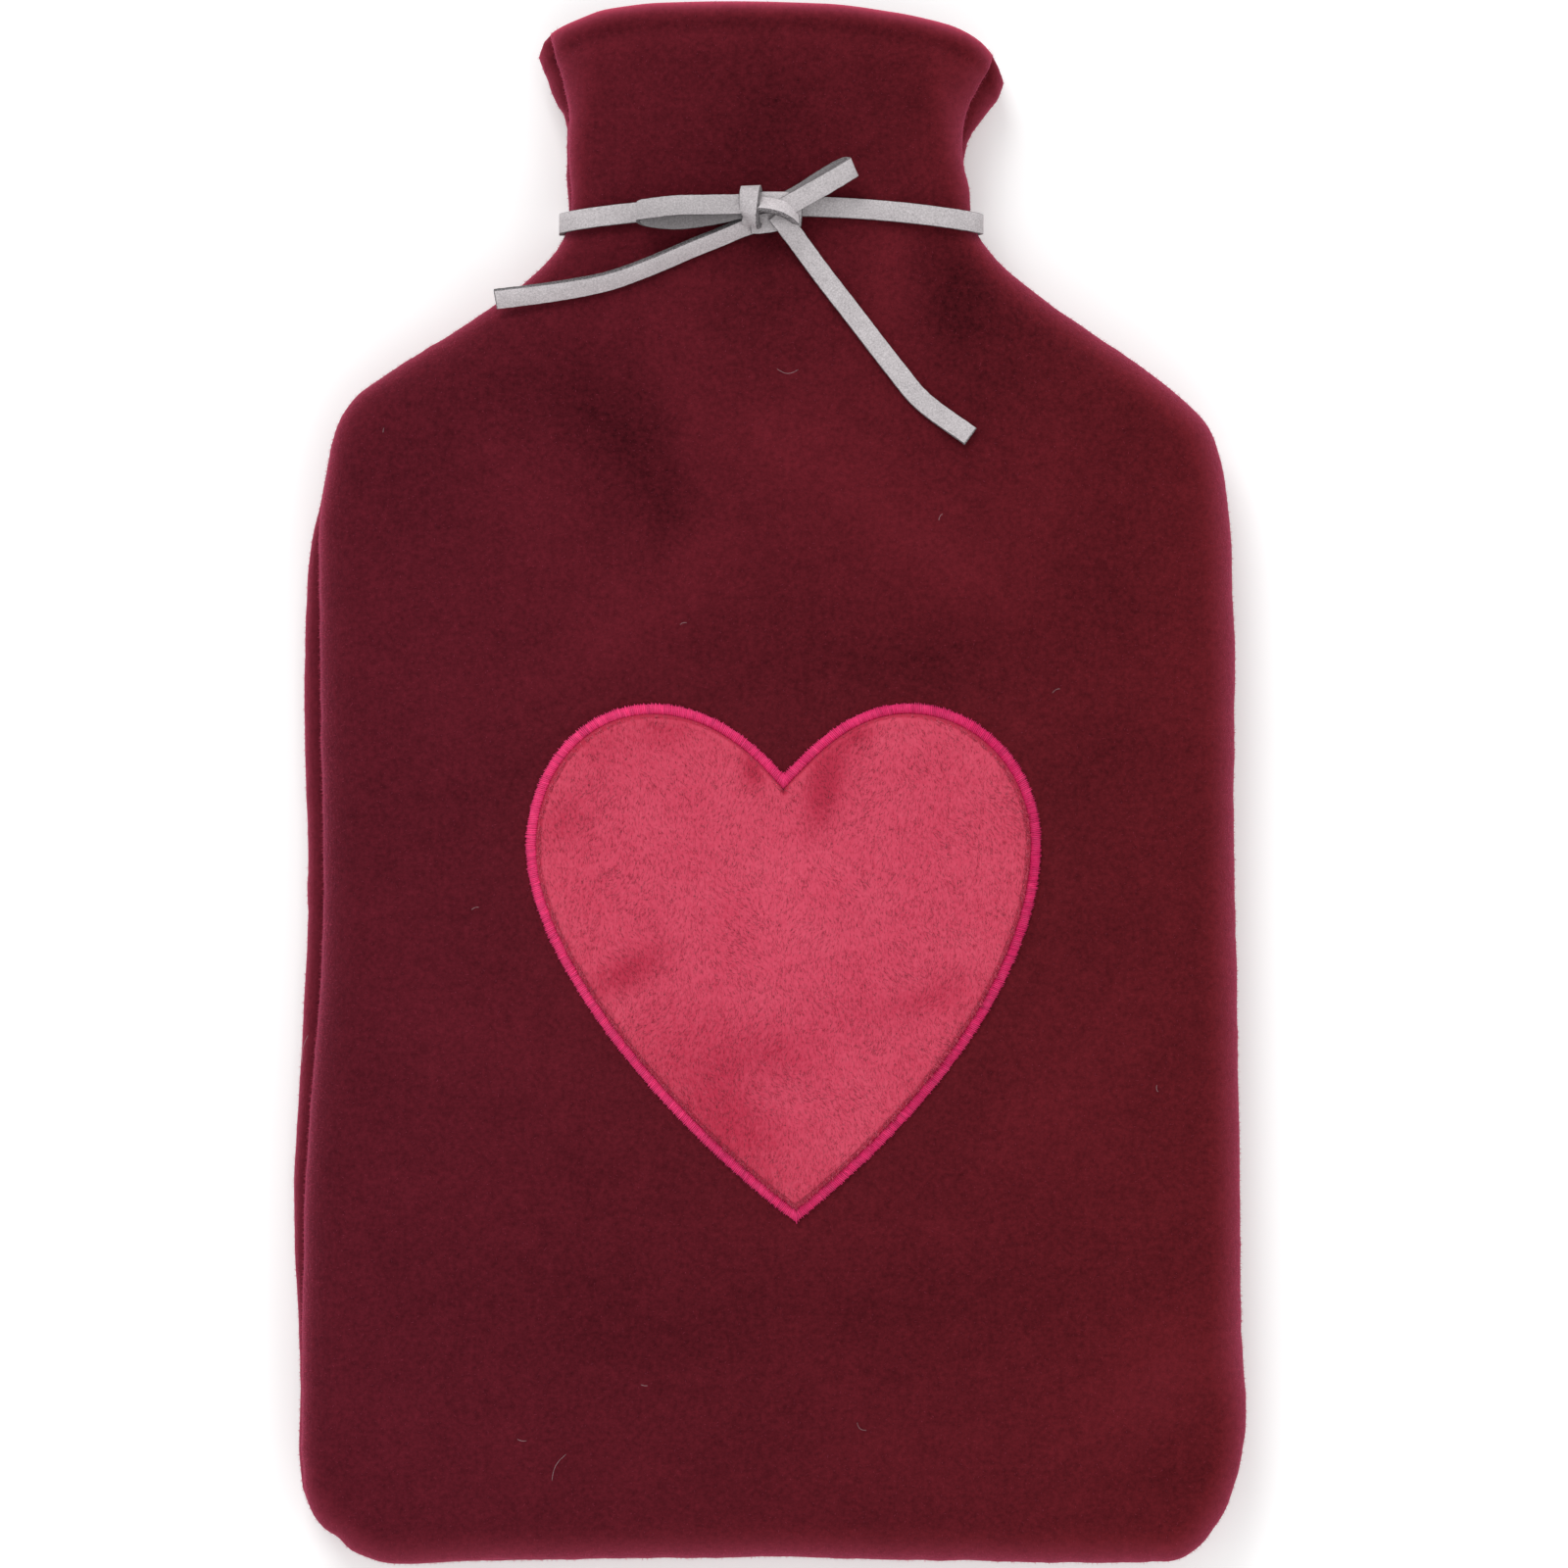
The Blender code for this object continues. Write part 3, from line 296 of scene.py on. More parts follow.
THREAD_WIDTHS = (0.85, 1.12)
THREAD_ARCHES = (0.92, 1.06)
THREAD_FULLNESS = 0.55  # power of the sine by which a thread rises
THREAD_TIP = 0.35       # share of its width at its ends
THREAD_FLATNESS = 0.8   # its depth as a share of its width
LONGEST_STITCH = 2.2    # widths of the border past which a corner's stitch is left out
CORNER_REACH = 1.8      # distance over which the stitches turn at a corner
SEAT = 0.2              # clearance of what is sewn on, over the fleece

# ---- lace --------------------------------------------------------------------------------
LACE_WIDTH = 4.4
LACE_THICK = 1.25
LACE_CORNER = 0.16      # rounding of the lace's cut edges
LACE_STEP = 0.45
LACE_WOBBLE = 0.08      # unevenness of its cut edges, and how many of its waves a mm holds
LACE_WAVE = 0.9
LACE_MIDDLE = 0.33      # share of the half width where the face has its middle line
END_INSET = 0.12        # rounding of its cut ends, across and along
END_BULGE = 0.05
UNDERSIDE_SHADE = -0.50  # painted shade on the lace's other side, which shows inside the loops
# Painted light on each piece's face: painted highlight on the left end and turn, painted shade on
# the left loop, wrap and tuck.
FACE_PAINTED_LIGHT = {
    "tie_end_left": 0.16, "tie_end_right": 0, "bow_loop_left": -0.14, "bow_loop_right": 0,
    "wrap": -0.03, "turn": 0.22, "tuck": -0.02,
}
BAND_CLEARANCE = 0.35
BAND_LEVEL = 125.05     # Y of the band at the knot
BAND_FALL = 3.2         # how much lower it is at the neck's sides
NECK_HALF = 44
BAND_CURVE_STEPS = 12
ROUTE_PARTS = 24        # steps between two points of a route, before they are evened out
# Routes of the loops and ends: the middle of the lace, then the way its width points seen
# from above and how much that way rises, in degrees.
ROUTE_COLUMNS = ("x", "y", "z", "way", "lean")
ROUTES = {
    "tie_end_left": (
        (-3.4, 121.9, 23.4, 110, 36), (-6.6, 120.7, 22.9, 112, 42), (-11, 118.8, 22.8, 113, 42),
        (-16.3, 116.7, 22.9, 114, 42), (-26.2, 112.5, 23.1, 112, 41), (-35.3, 109.3, 22.8, 107, 38),
        (-46, 107.2, 22, 100, 32), (-59.6, 105.4, 20.6, 98, 26),
    ),
    "tie_end_right": (
        (1.6, 124, 26.3, 40, 0), (3.2, 122, 26.3, 39, 0), (5.2, 119.4, 24.6, 38, 0),
        (7.4, 116.4, 23, 38, 0), (11.8, 110.4, 22.5, 37, -2), (18.7, 101.5, 23.9, 38, -3),
        (27.5, 90.1, 25.5, 40, -3), (33.6, 83, 26, 46, -4), (43.8, 75.5, 26.4, 55, -8),
    ),
    "bow_loop_left": (
        (-4, 126.2, 26, 90, -8), (-8, 126, 27, 90, -6), (-14, 125.9, 27.6, 90, -5),
        (-20, 125.8, 27.8, 90, -4), (-25.6, 125.2, 27.4, 90, -2), (-28, 124.6, 26, 90, 0),
        (-26.4, 123.4, 24.7, 91, 4), (-20, 122.8, 24.3, 92, 4), (-12, 123.8, 24.3, 92, 2),
        (-5, 125.4, 24.6, 90, 0),
    ),
    "bow_loop_right": (
        (2.4, 124.9, 24.9, 118, 4), (4.8, 126.2, 25.7, 118, 6), (10.8, 129.6, 27, 118, 10),
        (14.2, 131.6, 27.3, 117, 12), (16.8, 133.2, 27, 116, 14), (18, 134, 25.8, 115, 16),
        (16.4, 134, 24.5, 116, 14), (13.6, 132.6, 24, 117, 8), (10.4, 130.6, 23.6, 118, 4),
        (7, 128.4, 23.7, 118, 2), (4.4, 127, 23.8, 118, 0),
    ),
}
# The knot's straps: the wrap goes over its front from the upper side to the lower, the turn slants
# out of the wrap to the right, and the tuck shows under both.
KNOT_STRAPS = {
    "wrap": (
        (-3.6, 127.6, 23, 2, 0), (-3.8, 129, 23.9, 2, 4), (-4, 129.5, 25.6, 2, 10),
        (-4.2, 128.6, 27.3, 2, 16), (-4.3, 126.9, 28.1, 3, 22), (-4.25, 124.8, 28.1, 5, 36),
        (-3.95, 123.2, 27.5, 8, 58), (-3.8, 122.2, 26.3, 10, 72), (-3.75, 121.8, 24.2, 12, 76),
    ),
    "turn": (
        (-3.6, 126.1, 26.6, 92, -50), (-1.6, 126, 27.5, 88, -52), (0.6, 125.7, 27.8, 84, -52),
        (2.8, 125.1, 27.4, 78, -52), (4.6, 124.3, 26.4, 74, -50), (6, 123.4, 24.8, 70, -48),
    ),
    "tuck": (
        (-4, 121.9, 24.4, 94, 20), (-2, 121.9, 25.2, 92, 16), (0.4, 122.2, 25.2, 86, 10),
        (3, 122.8, 24.9, 76, 8), (5.2, 123.2, 24.8, 68, 4), (6.8, 123.3, 24, 62, 0),
    ),
}
KNOT_CENTRE = (0.4, 124.4, 24.4)
KNOT_SIZE = (8.4, 7, 2.8)
KNOT_ROUND = 1

# ---- pile and lint -----------------------------------------------------------------------
NAP_PER_MM2 = 0.30      # fibres standing on the level fleece
NAP_EDGE_PER_MM2 = 2.6  # and on its rolled edges
NAP_LENGTH = 0.70
NAP_LENGTHS = (0.5, 1.4)
NAP_WIDTH = 0.05
NAP_STAND = (0.25, 1)   # how much of a fibre's way is the cloth's normal, and how far it strays
NAP_STRAY = 0.45
NAP_ROOT = 0.08
NAP_LEVEL = 0.95        # a normal's height at which the fleece begins to be an edge
NAP_TURN = 0.5          # and over how much of it the edge's fibres come in
NAP_FACING = 0.6        # a normal's height past which the fleece faces up, or lies on the table
NAP_FLOOR = 2           # level under which the fleece that faces down has no fibres
NAP_LOW = 1             # and under which the fibres all point up
PILE_PER_MM2 = 6.3      # tufts of the plush
PILE_LENGTH = 1.15
PILE_LENGTHS = (0.6, 1.2)
PILE_WIDTHS = (0.7, 1.2)
PILE_ROOT = 0.12
PILE_WIDTH = 0.13
PILE_TONES = 0.10       # how much the tufts differ in tone
PILE_STRAY = 0.30       # how far a tuft strays from the brushed way, in radians
PILE_RISE = (0.08, 0.28)
PILE_OVERLAP = 0.2      # how far it reaches over the border's inner edge
BRUSH_HEADING = math.radians(-82)
BRUSH_SWAY = ((15, 1.0), (5, 0.7))      # how the brushed way sways, in radians
LINT_COLUMNS = ("x", "y", "heading", "length", "curl")
LINT_ROWS = (
    (-100.6, -57.5, 78, 6, 0.5), (-63.5, -27, 20, 1.6, 0.2), (-53.5, -142, 170, 2, 0.2),
    (-27, -130, 170, 1.4, 0.1), (-18.5, 34.5, 15, 1.5, 0.2), (4, 89.5, 178, 4.5, 0.9),
    (37, 57.5, 60, 1.6, 0.2), (-83.5, 76.5, 80, 1, 0.1), (84, -66, 100, 1.5, 0.2),
    (-45.5, -148, 62, 6.5, 0.8), (62, 20, 30, 1.8, 0.3), (20, -139, 140, 2.6, 0.6),
)
LINT_WIDTH = 0.03
LINT_LEVEL = 0.35       # height over the fleece at which the hairs lie

# ---- camera and light, in metres ---------------------------------------------------------
# The lace, the knot and the heart are measured in plan at the level of the cover's edge, and
# `lifted` moves each place to where the camera sees it at its own height.
PHOTO_SPAN = 0.3412     # what the photo's frame spans at the cover's edge
VIEW_CENTRE = (0.0032, -0.0001)
EDGE_LEVEL = 0.011
CAMERA_HEIGHT = 2
SENSOR = 36
FLOOR_SIZE = 6
STUDIO_STRENGTH = 0.72
FLOOR_GLOW = 0.2        # of the lit table the cover lies on
FLOOR_DROP = 0.0003     # how far that lies under the cover
# Soft square lights that face the cover: name, place, size and power.
LIGHTS = (
    ("neck_light", (-0.7, 1.9, 1.6), 1.2, 28),
    ("side_light", (1.4, -0.4, 2.2), 1.4, 5),
    ("foot_light", (0.3, -1.9, 1.3), 1.4, 6),
)


# ---- shader maths ------------------------------------------------------------------------
class Field:
    """A shader socket in sums and products, so that 1 - field adds its Math node."""

    def __init__(self, finish, socket):
        self.finish = finish
        self.socket = socket

    def join(self, operation, first, second):
        return self.finish.node("ShaderNodeMath", {"operation": operation}, first, second)

    def __add__(self, other):
        return self.join("ADD", self, other)

    def __sub__(self, other):
        return self.join("SUBTRACT", self, other)

    def __rsub__(self, other):
        return self.join("SUBTRACT", other, self)

    def __mul__(self, other):
        return self.join("MULTIPLY", self, other)

    __radd__ = __add__
    __rmul__ = __mul__


class Finish:
    """One procedural material round a Principled shader."""

    def __init__(self, name, **constants):
        self.material = bpy.data.materials.new(name)
        self.material.use_nodes = True
        self.tree = self.material.node_tree
        self.shader = self.tree.nodes["Principled BSDF"]
        for socket, value in constants.items():
            self.constant(socket.replace("_", " ").title(), value)

    def constant(self, socket, value):
        names = {name.lower(): name for name in self.shader.inputs.keys()}
        self.shader.inputs[names[socket.lower()]].default_value = value

    def node(self, kind, settings, *inputs, out=0):
        """A node with its settings made first, then its sockets' values or links."""
        made = self.tree.nodes.new(kind)
        for name, value in settings.items():
            setattr(made, name, value)
        sockets = [socket for socket in made.inputs if socket.enabled]
        for socket, value in zip(sockets, inputs):
            if isinstance(value, Field):
                self.tree.links.new(value.socket, socket)
            elif value is not None:
                socket.default_value = value
        return Field(self, [socket for socket in made.outputs if socket.enabled][out])

    def feed(self, socket, field):
        self.tree.links.new(field.socket, self.shader.inputs[socket])

    def places(self):
        return self.node("ShaderNodeTexCoord", {}, out=3)

    def attribute(self, name):
        return self.node("ShaderNodeAttribute", {"attribute_name": name}, out=2)

    def cloud(self, places, wave, detail=2.0, roughness=0.5):
        """Noise from about 0 to 1 whose waves are so many millimetres long."""
        return self.node("ShaderNodeTexNoise", {}, places, 1 / (wave * MM), detail, roughness)

    def stretched(self, places, scale, turn=0.0):
        """The places turned and scaled, for a grain with a direction."""
        return self.node("ShaderNodeMapping", {}, places, None, (0.0, 0.0, turn), scale)

    def across(self, places):
        """How far right a place is, in metres."""
        return self.node("ShaderNodeSeparateXYZ", {}, places)

    def between(self, share, low, high):
        """A share brought from the range low to high to the range 0 to 1."""
        return self.node("ShaderNodeMapRange", {}, share, low, high, 0.0, 1.0)

    def toned(self, tint, tone):
        """A colour made paler by a positive share of itself, or darker by a negative one."""
        return self.node("ShaderNodeVectorMath", {"operation": "SCALE"}, tint, tone + 1.0)

    def blend(self, share, first, second):
        return self.node("ShaderNodeMix", {"data_type": "RGBA"}, share, first, second)

    def relief(self, height, depth):
        """A bump of the height, so many millimetres deep."""
        made = self.tree.nodes.new("ShaderNodeBump")
        made.inputs["Strength"].default_value = 1.0
        made.inputs["Distance"].default_value = depth * MM
        self.tree.links.new(height.socket, made.inputs["Height"])
        self.tree.links.new(made.outputs["Normal"], self.shader.inputs["Normal"])


def colour(red, green, blue):
    return (red, green, blue, 1.0)


FLEECE_LEFT = colour(0.090, 0.0080, 0.0150)
FLEECE_RIGHT = colour(0.102, 0.0085, 0.0120)
# the pinker hue of the fleece's painted highlight
FLEECE_HIGHLIGHT_HUE = colour(0.098, 0.0120, 0.0215)
# paler copies of the fleece's colours for the loose fibres, as painted highlight
NAP_LIT_LEFT = colour(0.22, 0.025, 0.050)
NAP_LIT_RIGHT = colour(0.23, 0.025, 0.045)
PLUSH_PILE = colour(0.605, 0.062, 0.115)
PLUSH_BRUSHED = colour(0.495, 0.030, 0.069)
PLUSH_LIT = colour(0.68, 0.093, 0.153)
THREAD_LEFT = colour(0.82, 0.045, 0.185)
THREAD_RIGHT = colour(0.65, 0.0185, 0.125)
THREAD_WORN = colour(0.80, 0.070, 0.210)
SUEDE = colour(0.34, 0.314, 0.324)
SUEDE_LIT = colour(0.66, 0.615, 0.630)
SUEDE_CUT = colour(0.075, 0.068, 0.072)
LINT_PALE = colour(0.40, 0.26, 0.28)
LINT_WHITE = colour(0.62, 0.52, 0.54)
FLOOR_WHITE = colour(0.93, 0.93, 0.93)
FLOOR_BRIGHT = colour(0.96, 0.96, 0.96)


def fleece_finish(name, left, right, highlight_tint):
    finish = Finish(name, sheen_weight=0.55, sheen_roughness=0.4, specular_ior_level=0.03,
                    sheen_tint=colour(1.0, 0.20, 0.38))
    places = finish.places()
    # Tone is painted light: painted highlight on the rolled edges, rim and ridges, painted shade
    # along the topstitching and in the dents; where it is high the colour turns to the highlight's
    # hue.
    tone = finish.attribute("tone")
    drift = finish.between(finish.across(places), -0.1, 0.1)
    highlight_share = finish.between(tone, 0.2, 1.4)
    dye_and_painted_light = finish.blend(highlight_share, finish.blend(drift, left, right), highlight_tint)
    patches = finish.cloud(places, 26.0)
    felted = finish.cloud(places, 5.0, 3.0, 0.6)
    flecks = finish.cloud(places, 1.1, 4.0, 0.75)
    uneven = patches * 0.3 + felted * 0.45 + flecks * 1.6 - 1.175
    finish.feed("Base Color", finish.toned(dye_and_painted_light, tone + uneven))
    finish.feed("Roughness", flecks * 0.1 + 0.88)
    nap = finish.cloud(finish.stretched(places, (1.0, 0.5, 1.0), 0.3), 0.5, 3.0, 0.7)
    finish.relief(nap * 0.6 + flecks * 0.8, 0.32)
    return finish.material


def plush_finish():
    finish = Finish("short_plush", sheen_weight=0.35, sheen_roughness=0.4,
                    specular_ior_level=0.1, sheen_tint=colour(1.0, 0.45, 0.60))
    places = finish.places()
    tone = finish.attribute("tone")
    lean = finish.cloud(places, 14.0)
    streaks = finish.cloud(finish.stretched(places, (1.0, 0.3, 1.0), 0.25), 0.45, 2.0, 0.6)
    tufts = finish.cloud(places, 0.8, 3.0, 0.6)
    # tone holds the brushed patches and the tufts' own tones, with painted shade in the border's
    # crease and the notch's hole
    level = tone + lean * 0.3 + tufts * 0.5 + streaks * 0.4 - 0.6
    dye_and_painted_light = finish.blend(finish.between(level, -0.3, 0.0), PLUSH_BRUSHED, PLUSH_PILE)
    lit = finish.blend(finish.between(level, 0.0, 0.3), dye_and_painted_light, PLUSH_LIT)
    finish.feed("Base Color", finish.toned(lit, tone * 0.3))
    finish.feed("Roughness", tufts * 0.2 + 0.7)
    finish.relief(streaks, 0.2)
    return finish.material


def thread_finish():
    finish = Finish("satin_thread", sheen_weight=0.1, sheen_roughness=0.3,
                    specular_ior_level=0.12, sheen_tint=colour(1.0, 0.4, 0.6))
    places = finish.places()
    drift = finish.between(finish.across(places), -0.05, 0.055)
    base = finish.blend(drift, THREAD_LEFT, THREAD_RIGHT)
    wear = finish.cloud(places, 2.2, 3.0, 0.6)
    worn = finish.between(wear, 0.40, 0.75) * 0.5
    finish.feed("Base Color", finish.toned(finish.blend(worn, base, THREAD_WORN),
                                           finish.attribute("tone")))
    finish.feed("Roughness", wear * 0.25 + 0.5)
    finish.relief(finish.cloud(places, 0.12), 0.03)
    return finish.material


def suede_finish():
    finish = Finish("suede_lace", sheen_weight=0.2, sheen_roughness=0.5, specular_ior_level=0.15)
    places = finish.places()
    cut = finish.attribute("cut")
    grain = finish.cloud(places, 0.36, 3.0, 0.75)
    patches = finish.cloud(places, 5.0)
    specks = finish.cloud(places, 0.30, 2.0, 0.8)
    face = finish.blend(finish.between(grain * 0.85 + patches * 0.15, 0.32, 0.68), SUEDE, SUEDE_LIT)
    edge = finish.blend(finish.between(specks, 0.42, 0.66), SUEDE_CUT, SUEDE)
    whole = finish.blend(finish.between(cut, 0.3, 0.7), face, edge)
    # tone is painted light on each piece's face, and painted shade on its underside inside the loops
    finish.feed("Base Color", finish.toned(whole, finish.attribute("tone")))
    finish.feed("Roughness", grain * 0.15 + 0.82)
    finish.relief(grain, 0.12)
    return finish.material


def lint_finish():
    finish = Finish("lint", specular_ior_level=0.2)
    tone = finish.cloud(finish.places(), 1.5)
    finish.feed("Base Color", finish.blend(tone, LINT_PALE, LINT_WHITE))
    finish.feed("Roughness", tone * 0.2 + 0.6)
    return finish.material


def floor_finish():
    finish = Finish("pale_floor", roughness=0.9, specular_ior_level=0.0,
                    emission_color=FLOOR_WHITE, emission_strength=FLOOR_GLOW)
    tone = finish.cloud(finish.places(), 300.0, 1.0)
    finish.feed("Base Color", finish.blend(tone, FLOOR_WHITE, FLOOR_BRIGHT))
    return finish.material


# ---- tables and lines --------------------------------------------------------------------
def table(columns, rows):
    return [dict(zip(columns, row)) for row in rows]


class Track:
    """A smooth line without overshoot through one column of a table."""

    def __init__(self, rows, along, column):
        pairs = sorted((row[along], row[column]) for row in rows)
        self.places = [pair[0] for pair in pairs]
        self.values = [pair[1] for pair in pairs]
        steps = [b - a for a, b in zip(self.places, self.places[1:])]
        rises = [b - a for a, b in zip(self.values, self.values[1:])]
        grades = [rise / step for rise, step in zip(rises, steps)]
        self.slopes = [grades[0]]
        for before, after in zip(grades, grades[1:]):
            same_way = before * after > 0
            self.slopes.append(2 * before * after / (before + after) if same_way else 0.0)
        self.slopes.append(grades[-1])

    def __call__(self, place):
        place = min(max(place, self.places[0]), self.places[-1])
        index = 0
        while index < len(self.places) - 2 and place > self.places[index + 1]:
            index += 1
        step = self.places[index + 1] - self.places[index]
        t = (place - self.places[index]) / step
        low = self.values[index]
        high = self.values[index + 1]
        lean_low = self.slopes[index] * step
        lean_high = self.slopes[index + 1] * step
        return (low * (1 + 2 * t) * (1 - t) ** 2 + lean_low * t * (1 - t) ** 2
                + high * t * t * (3 - 2 * t) - lean_high * t * t * (1 - t))


OUTLINE = table(OUTLINE_COLUMNS, OUTLINE_ROWS)
HEIGHTS = table(HEIGHT_COLUMNS, HEIGHT_ROWS)
CORNERS = {row["side"]: row for row in table(CORNER_COLUMNS, CORNER_ROWS)}
FOLDS = table(FOLD_COLUMNS, FOLD_ROWS)
FRONT_PAINTED_LIGHT = table(TONE_COLUMNS, FRONT_PAINTED_LIGHT_ROWS)
BRUSHED_AND_HOLE_SHADE = table(TONE_COLUMNS, BRUSHED_AND_HOLE_SHADE_ROWS)
PUCKERS = table(PUCKER_COLUMNS, PUCKER_ROWS)

edge_at = {name: Track(OUTLINE, "y", name) for name in OUTLINE_COLUMNS[2:]}
height_at = {name: Track(HEIGHTS, "y", name) for name in HEIGHT_COLUMNS[2:]}
rim_at = Track(table(RIM_COLUMNS, RIM_ROWS), "x", "y")
bottom_at = Track(table(BOTTOM_COLUMNS, BOTTOM_ROWS), "x", "y")


def smooth_step(t):
    t = min(max(t, 0.0), 1.0)
    return t * t * (3 - 2 * t)


def stretches(lengths, goals):
    """For rising distances along a line, the stretch that each falls in and its share of it."""
    index = 0
    for goal in goals:
        while index < len(lengths) - 2 and lengths[index + 1] < goal:
            index += 1
        yield index, (goal - lengths[index]) / max(lengths[index + 1] - lengths[index], TINY)


def heading(angle):
    return Vector((math.cos(angle), math.sin(angle)))


def waves(point, sizes):
    """Unevenness at a point, from waves of several lengths and heights."""
    return sum(height * noise.noise(point / length) for length, height in sizes)


def lifted(x, y, z):
    """Where a place measured at the edge's level is in plan at its own height."""
    centre = Vector(VIEW_CENTRE) / MM
    share = (CAMERA_HEIGHT / MM - z) / (CAMERA_HEIGHT / MM - EDGE_LEVEL / MM)
    return centre + (Vector((x, y)) - centre) * share


# ---- the outline in plan -----------------------------------------------------------------
def side_points(side):
    """Points down one side, each with the front's tuck there."""
    corner = CORNERS[side]
    end_y = corner["y"] + corner["radius"] * math.sin(math.radians(corner["start"]))
    count = int(MOUTH_Y - end_y)
    points = []
    for step in range(count):
        y = MOUTH_Y + (end_y - MOUTH_Y) * step / count
        points.append((edge_at[side](y), y, edge_at["tuck_" + side](y)))
    return points


def corner_points(side):
    corner = CORNERS[side]
    start = math.radians(corner["start"])
    end = math.radians(corner["end"])
    points = []
    for step in range(CORNER_STEPS + 1):
        angle = start + (end - start) * step / CORNER_STEPS
        x = corner["x"] + corner["radius"] * math.cos(angle)
        y = corner["y"] + corner["radius"] * math.sin(angle)
        points.append((x, y, edge_at["tuck_" + side](y)))
    return points


def outline_line():
    """The whole outline from the left rim round the bottom to the right rim, and its corners."""
    left = side_points("left")
    left_corner = corner_points("left")
    right_corner = corner_points("right")[::-1]
    right = side_points("right")[::-1]
    a = left_corner[-1]
    b = right_corner[0]
    bottom = []
    for step in range(1, BOTTOM_STEPS):
        t = step / BOTTOM_STEPS
        x = a[0] + (b[0] - a[0]) * t
        bottom.append((x, bottom_at(x), a[2] + (b[2] - a[2]) * t))
    line = left + left_corner + bottom + right_corner + right
    turn_left = len(left) + len(left_corner) // 2
    turn_right = len(left) + len(left_corner) + len(bottom) + len(right_corner) // 2
    for _ in range(OUTLINE_SMOOTHING):
        inner = [tuple((p[i] + 2 * q[i] + r[i]) / 4 for i in range(3))
                 for p, q, r in zip(line, line[1:], line[2:])]
        line = [line[0]] + inner + [line[-1]]
    return line, turn_left, turn_right


def run_lengths(line):
    """Distances along a line of the outline to each of its points."""
    lengths = [0.0]
    for p, q in zip(line, line[1:]):
        lengths.append(lengths[-1] + math.hypot(q[0] - p[0], q[1] - p[1]))
    return lengths


def along_line(line, first, last, shares):
    """Places on part of the outline at shares of its length: position, inward way and tuck."""
    lengths = run_lengths(line[first:last + 1])
    found = []
    for index, t in stretches(lengths, [share * lengths[-1] for share in shares]):
        whole = first + index
        p = line[whole]
        q = line[whole + 1]
        before = line[max(whole - WAY_REACH, 0)]
        after = line[min(whole + 1 + WAY_REACH, len(line) - 1)]
        place = Vector((p[0] + (q[0] - p[0]) * t, p[1] + (q[1] - p[1]) * t))
        way = Vector((after[0] - before[0], after[1] - before[1])).normalized()
        slope = way.x * smooth_step((MOUTH_Y - place.y) / LEVEL_REACH)
        inward = Vector((-way.y, slope)).normalized()
        found.append((place, inward, p[2] + (q[2] - p[2]) * t))
    return found


def line_shares(first, step, length):
    """Shares of a length: distances from its start, then even steps to its end."""
    start = first[-1]
    count = int((length - start) / step)
    rest = [start + (length - start) * index / count for index in range(1, count + 1)]
    return [distance / length for distance in list(first) + rest]


# ---- heights -----------------------------------------------------------------------------
def spread(rows, column, x, y):
    """Sum at one place of a table's long soft spots."""
    total = 0.0
    for row in rows:
        turn = math.radians(row["heading"])
        dx = x - row["x"]
        dy = y - row["y"]
        along = (dx * math.cos(turn) + dy * math.sin(turn)) / (row["length"] / 2)
        across = (-dx * math.sin(turn) + dy * math.cos(turn)) / row["width"]
        total += row[column] * math.exp(-along ** 2 - across ** 2)
    return total


def crown_share(x, y):
    """How much of the crown the front has at one place, from 0 at the sides and bottom."""
    left = edge_at["left"](y)
    right = edge_at["right"](y)
    reach = (right - left) / 2 * CROWN_REACH
    across = min(max(min(x - left, right - x) / reach, 0.0), 1.0)
    along = min(max((y - BOTTOM_Y) / BOTTOM_SLOPE, 0.0), 1.0)
    return (1 - (1 - across) ** CROWN_POWER) * (1 - (1 - along) ** CROWN_POWER)


def hem_dip(x, y):
    """How far the hem's topstitching draws the fleece in, most at each stitch's end."""
    along = STITCH_EVEN + (1 - STITCH_EVEN) * math.cos(2 * math.pi * x / STITCH_LENGTH)
    return STITCH_DIP * along * math.exp(-((MOUTH_Y - y - HEM_STITCH) / STITCH_REACH) ** 2)


def front_height(x, y, turn=0.0):
    """Outer height of the front, where turn is the angle round its rolled edge."""
    seam = height_at["seam"](y)
    brow = height_at["brow"](y)
    widest = seam + CURL
    if turn > math.pi / 2:
        return widest + CURL * math.cos(turn) / -math.cos(CURL_END)
    crown = (height_at["crown"](y) - brow) * crown_share(x, y)
    relief = spread(FOLDS, "rise", x, y) - hem_dip(x, y)
    return widest + (brow - widest + relief) * math.cos(turn) + crown


def back_height(y, turn=0.0):
    """Outer height of the back, which is level where it lies on the surface."""
    widest = height_at["seam"](y) - CURL
    if turn > math.pi / 2:
        return widest - CURL * math.cos(turn) / -math.cos(CURL_END)
    return widest + (height_at["lift"](y) - widest) * math.cos(turn)


def arched(x, y):
    """Y of a place once the rim is raised into its arch, which is as wide as the neck there."""
    left = edge_at["left"](y)
    across = (x - left) / (edge_at["right"](y) - left)
    rim_left = edge_at["left"](MOUTH_Y)
    rise = rim_at(rim_left + (edge_at["right"](MOUTH_Y) - rim_left) * across) - MOUTH_Y
    return y + rise * smooth_step((y - TIE_Y) / (MOUTH_Y - TIE_Y))


# ---- meshes ------------------------------------------------------------------------------
def linked(name, data, finish):
    data.materials.append(finish)
    item = bpy.data.objects.new(name, data)
    bpy.context.scene.collection.objects.link(item)
    return item


def finished(name, mesh, finish):
    """An object in metres from a mesh in millimetres."""
    bmesh.ops.scale(mesh, vec=(MM, MM, MM), verts=mesh.verts[:])
    data = bpy.data.meshes.new(name)
    mesh.to_mesh(data)
    mesh.free()
    data.shade_smooth()
    data.set_sharp_from_angle(angle=SHARP_ANGLE)
    return linked(name, data, finish)


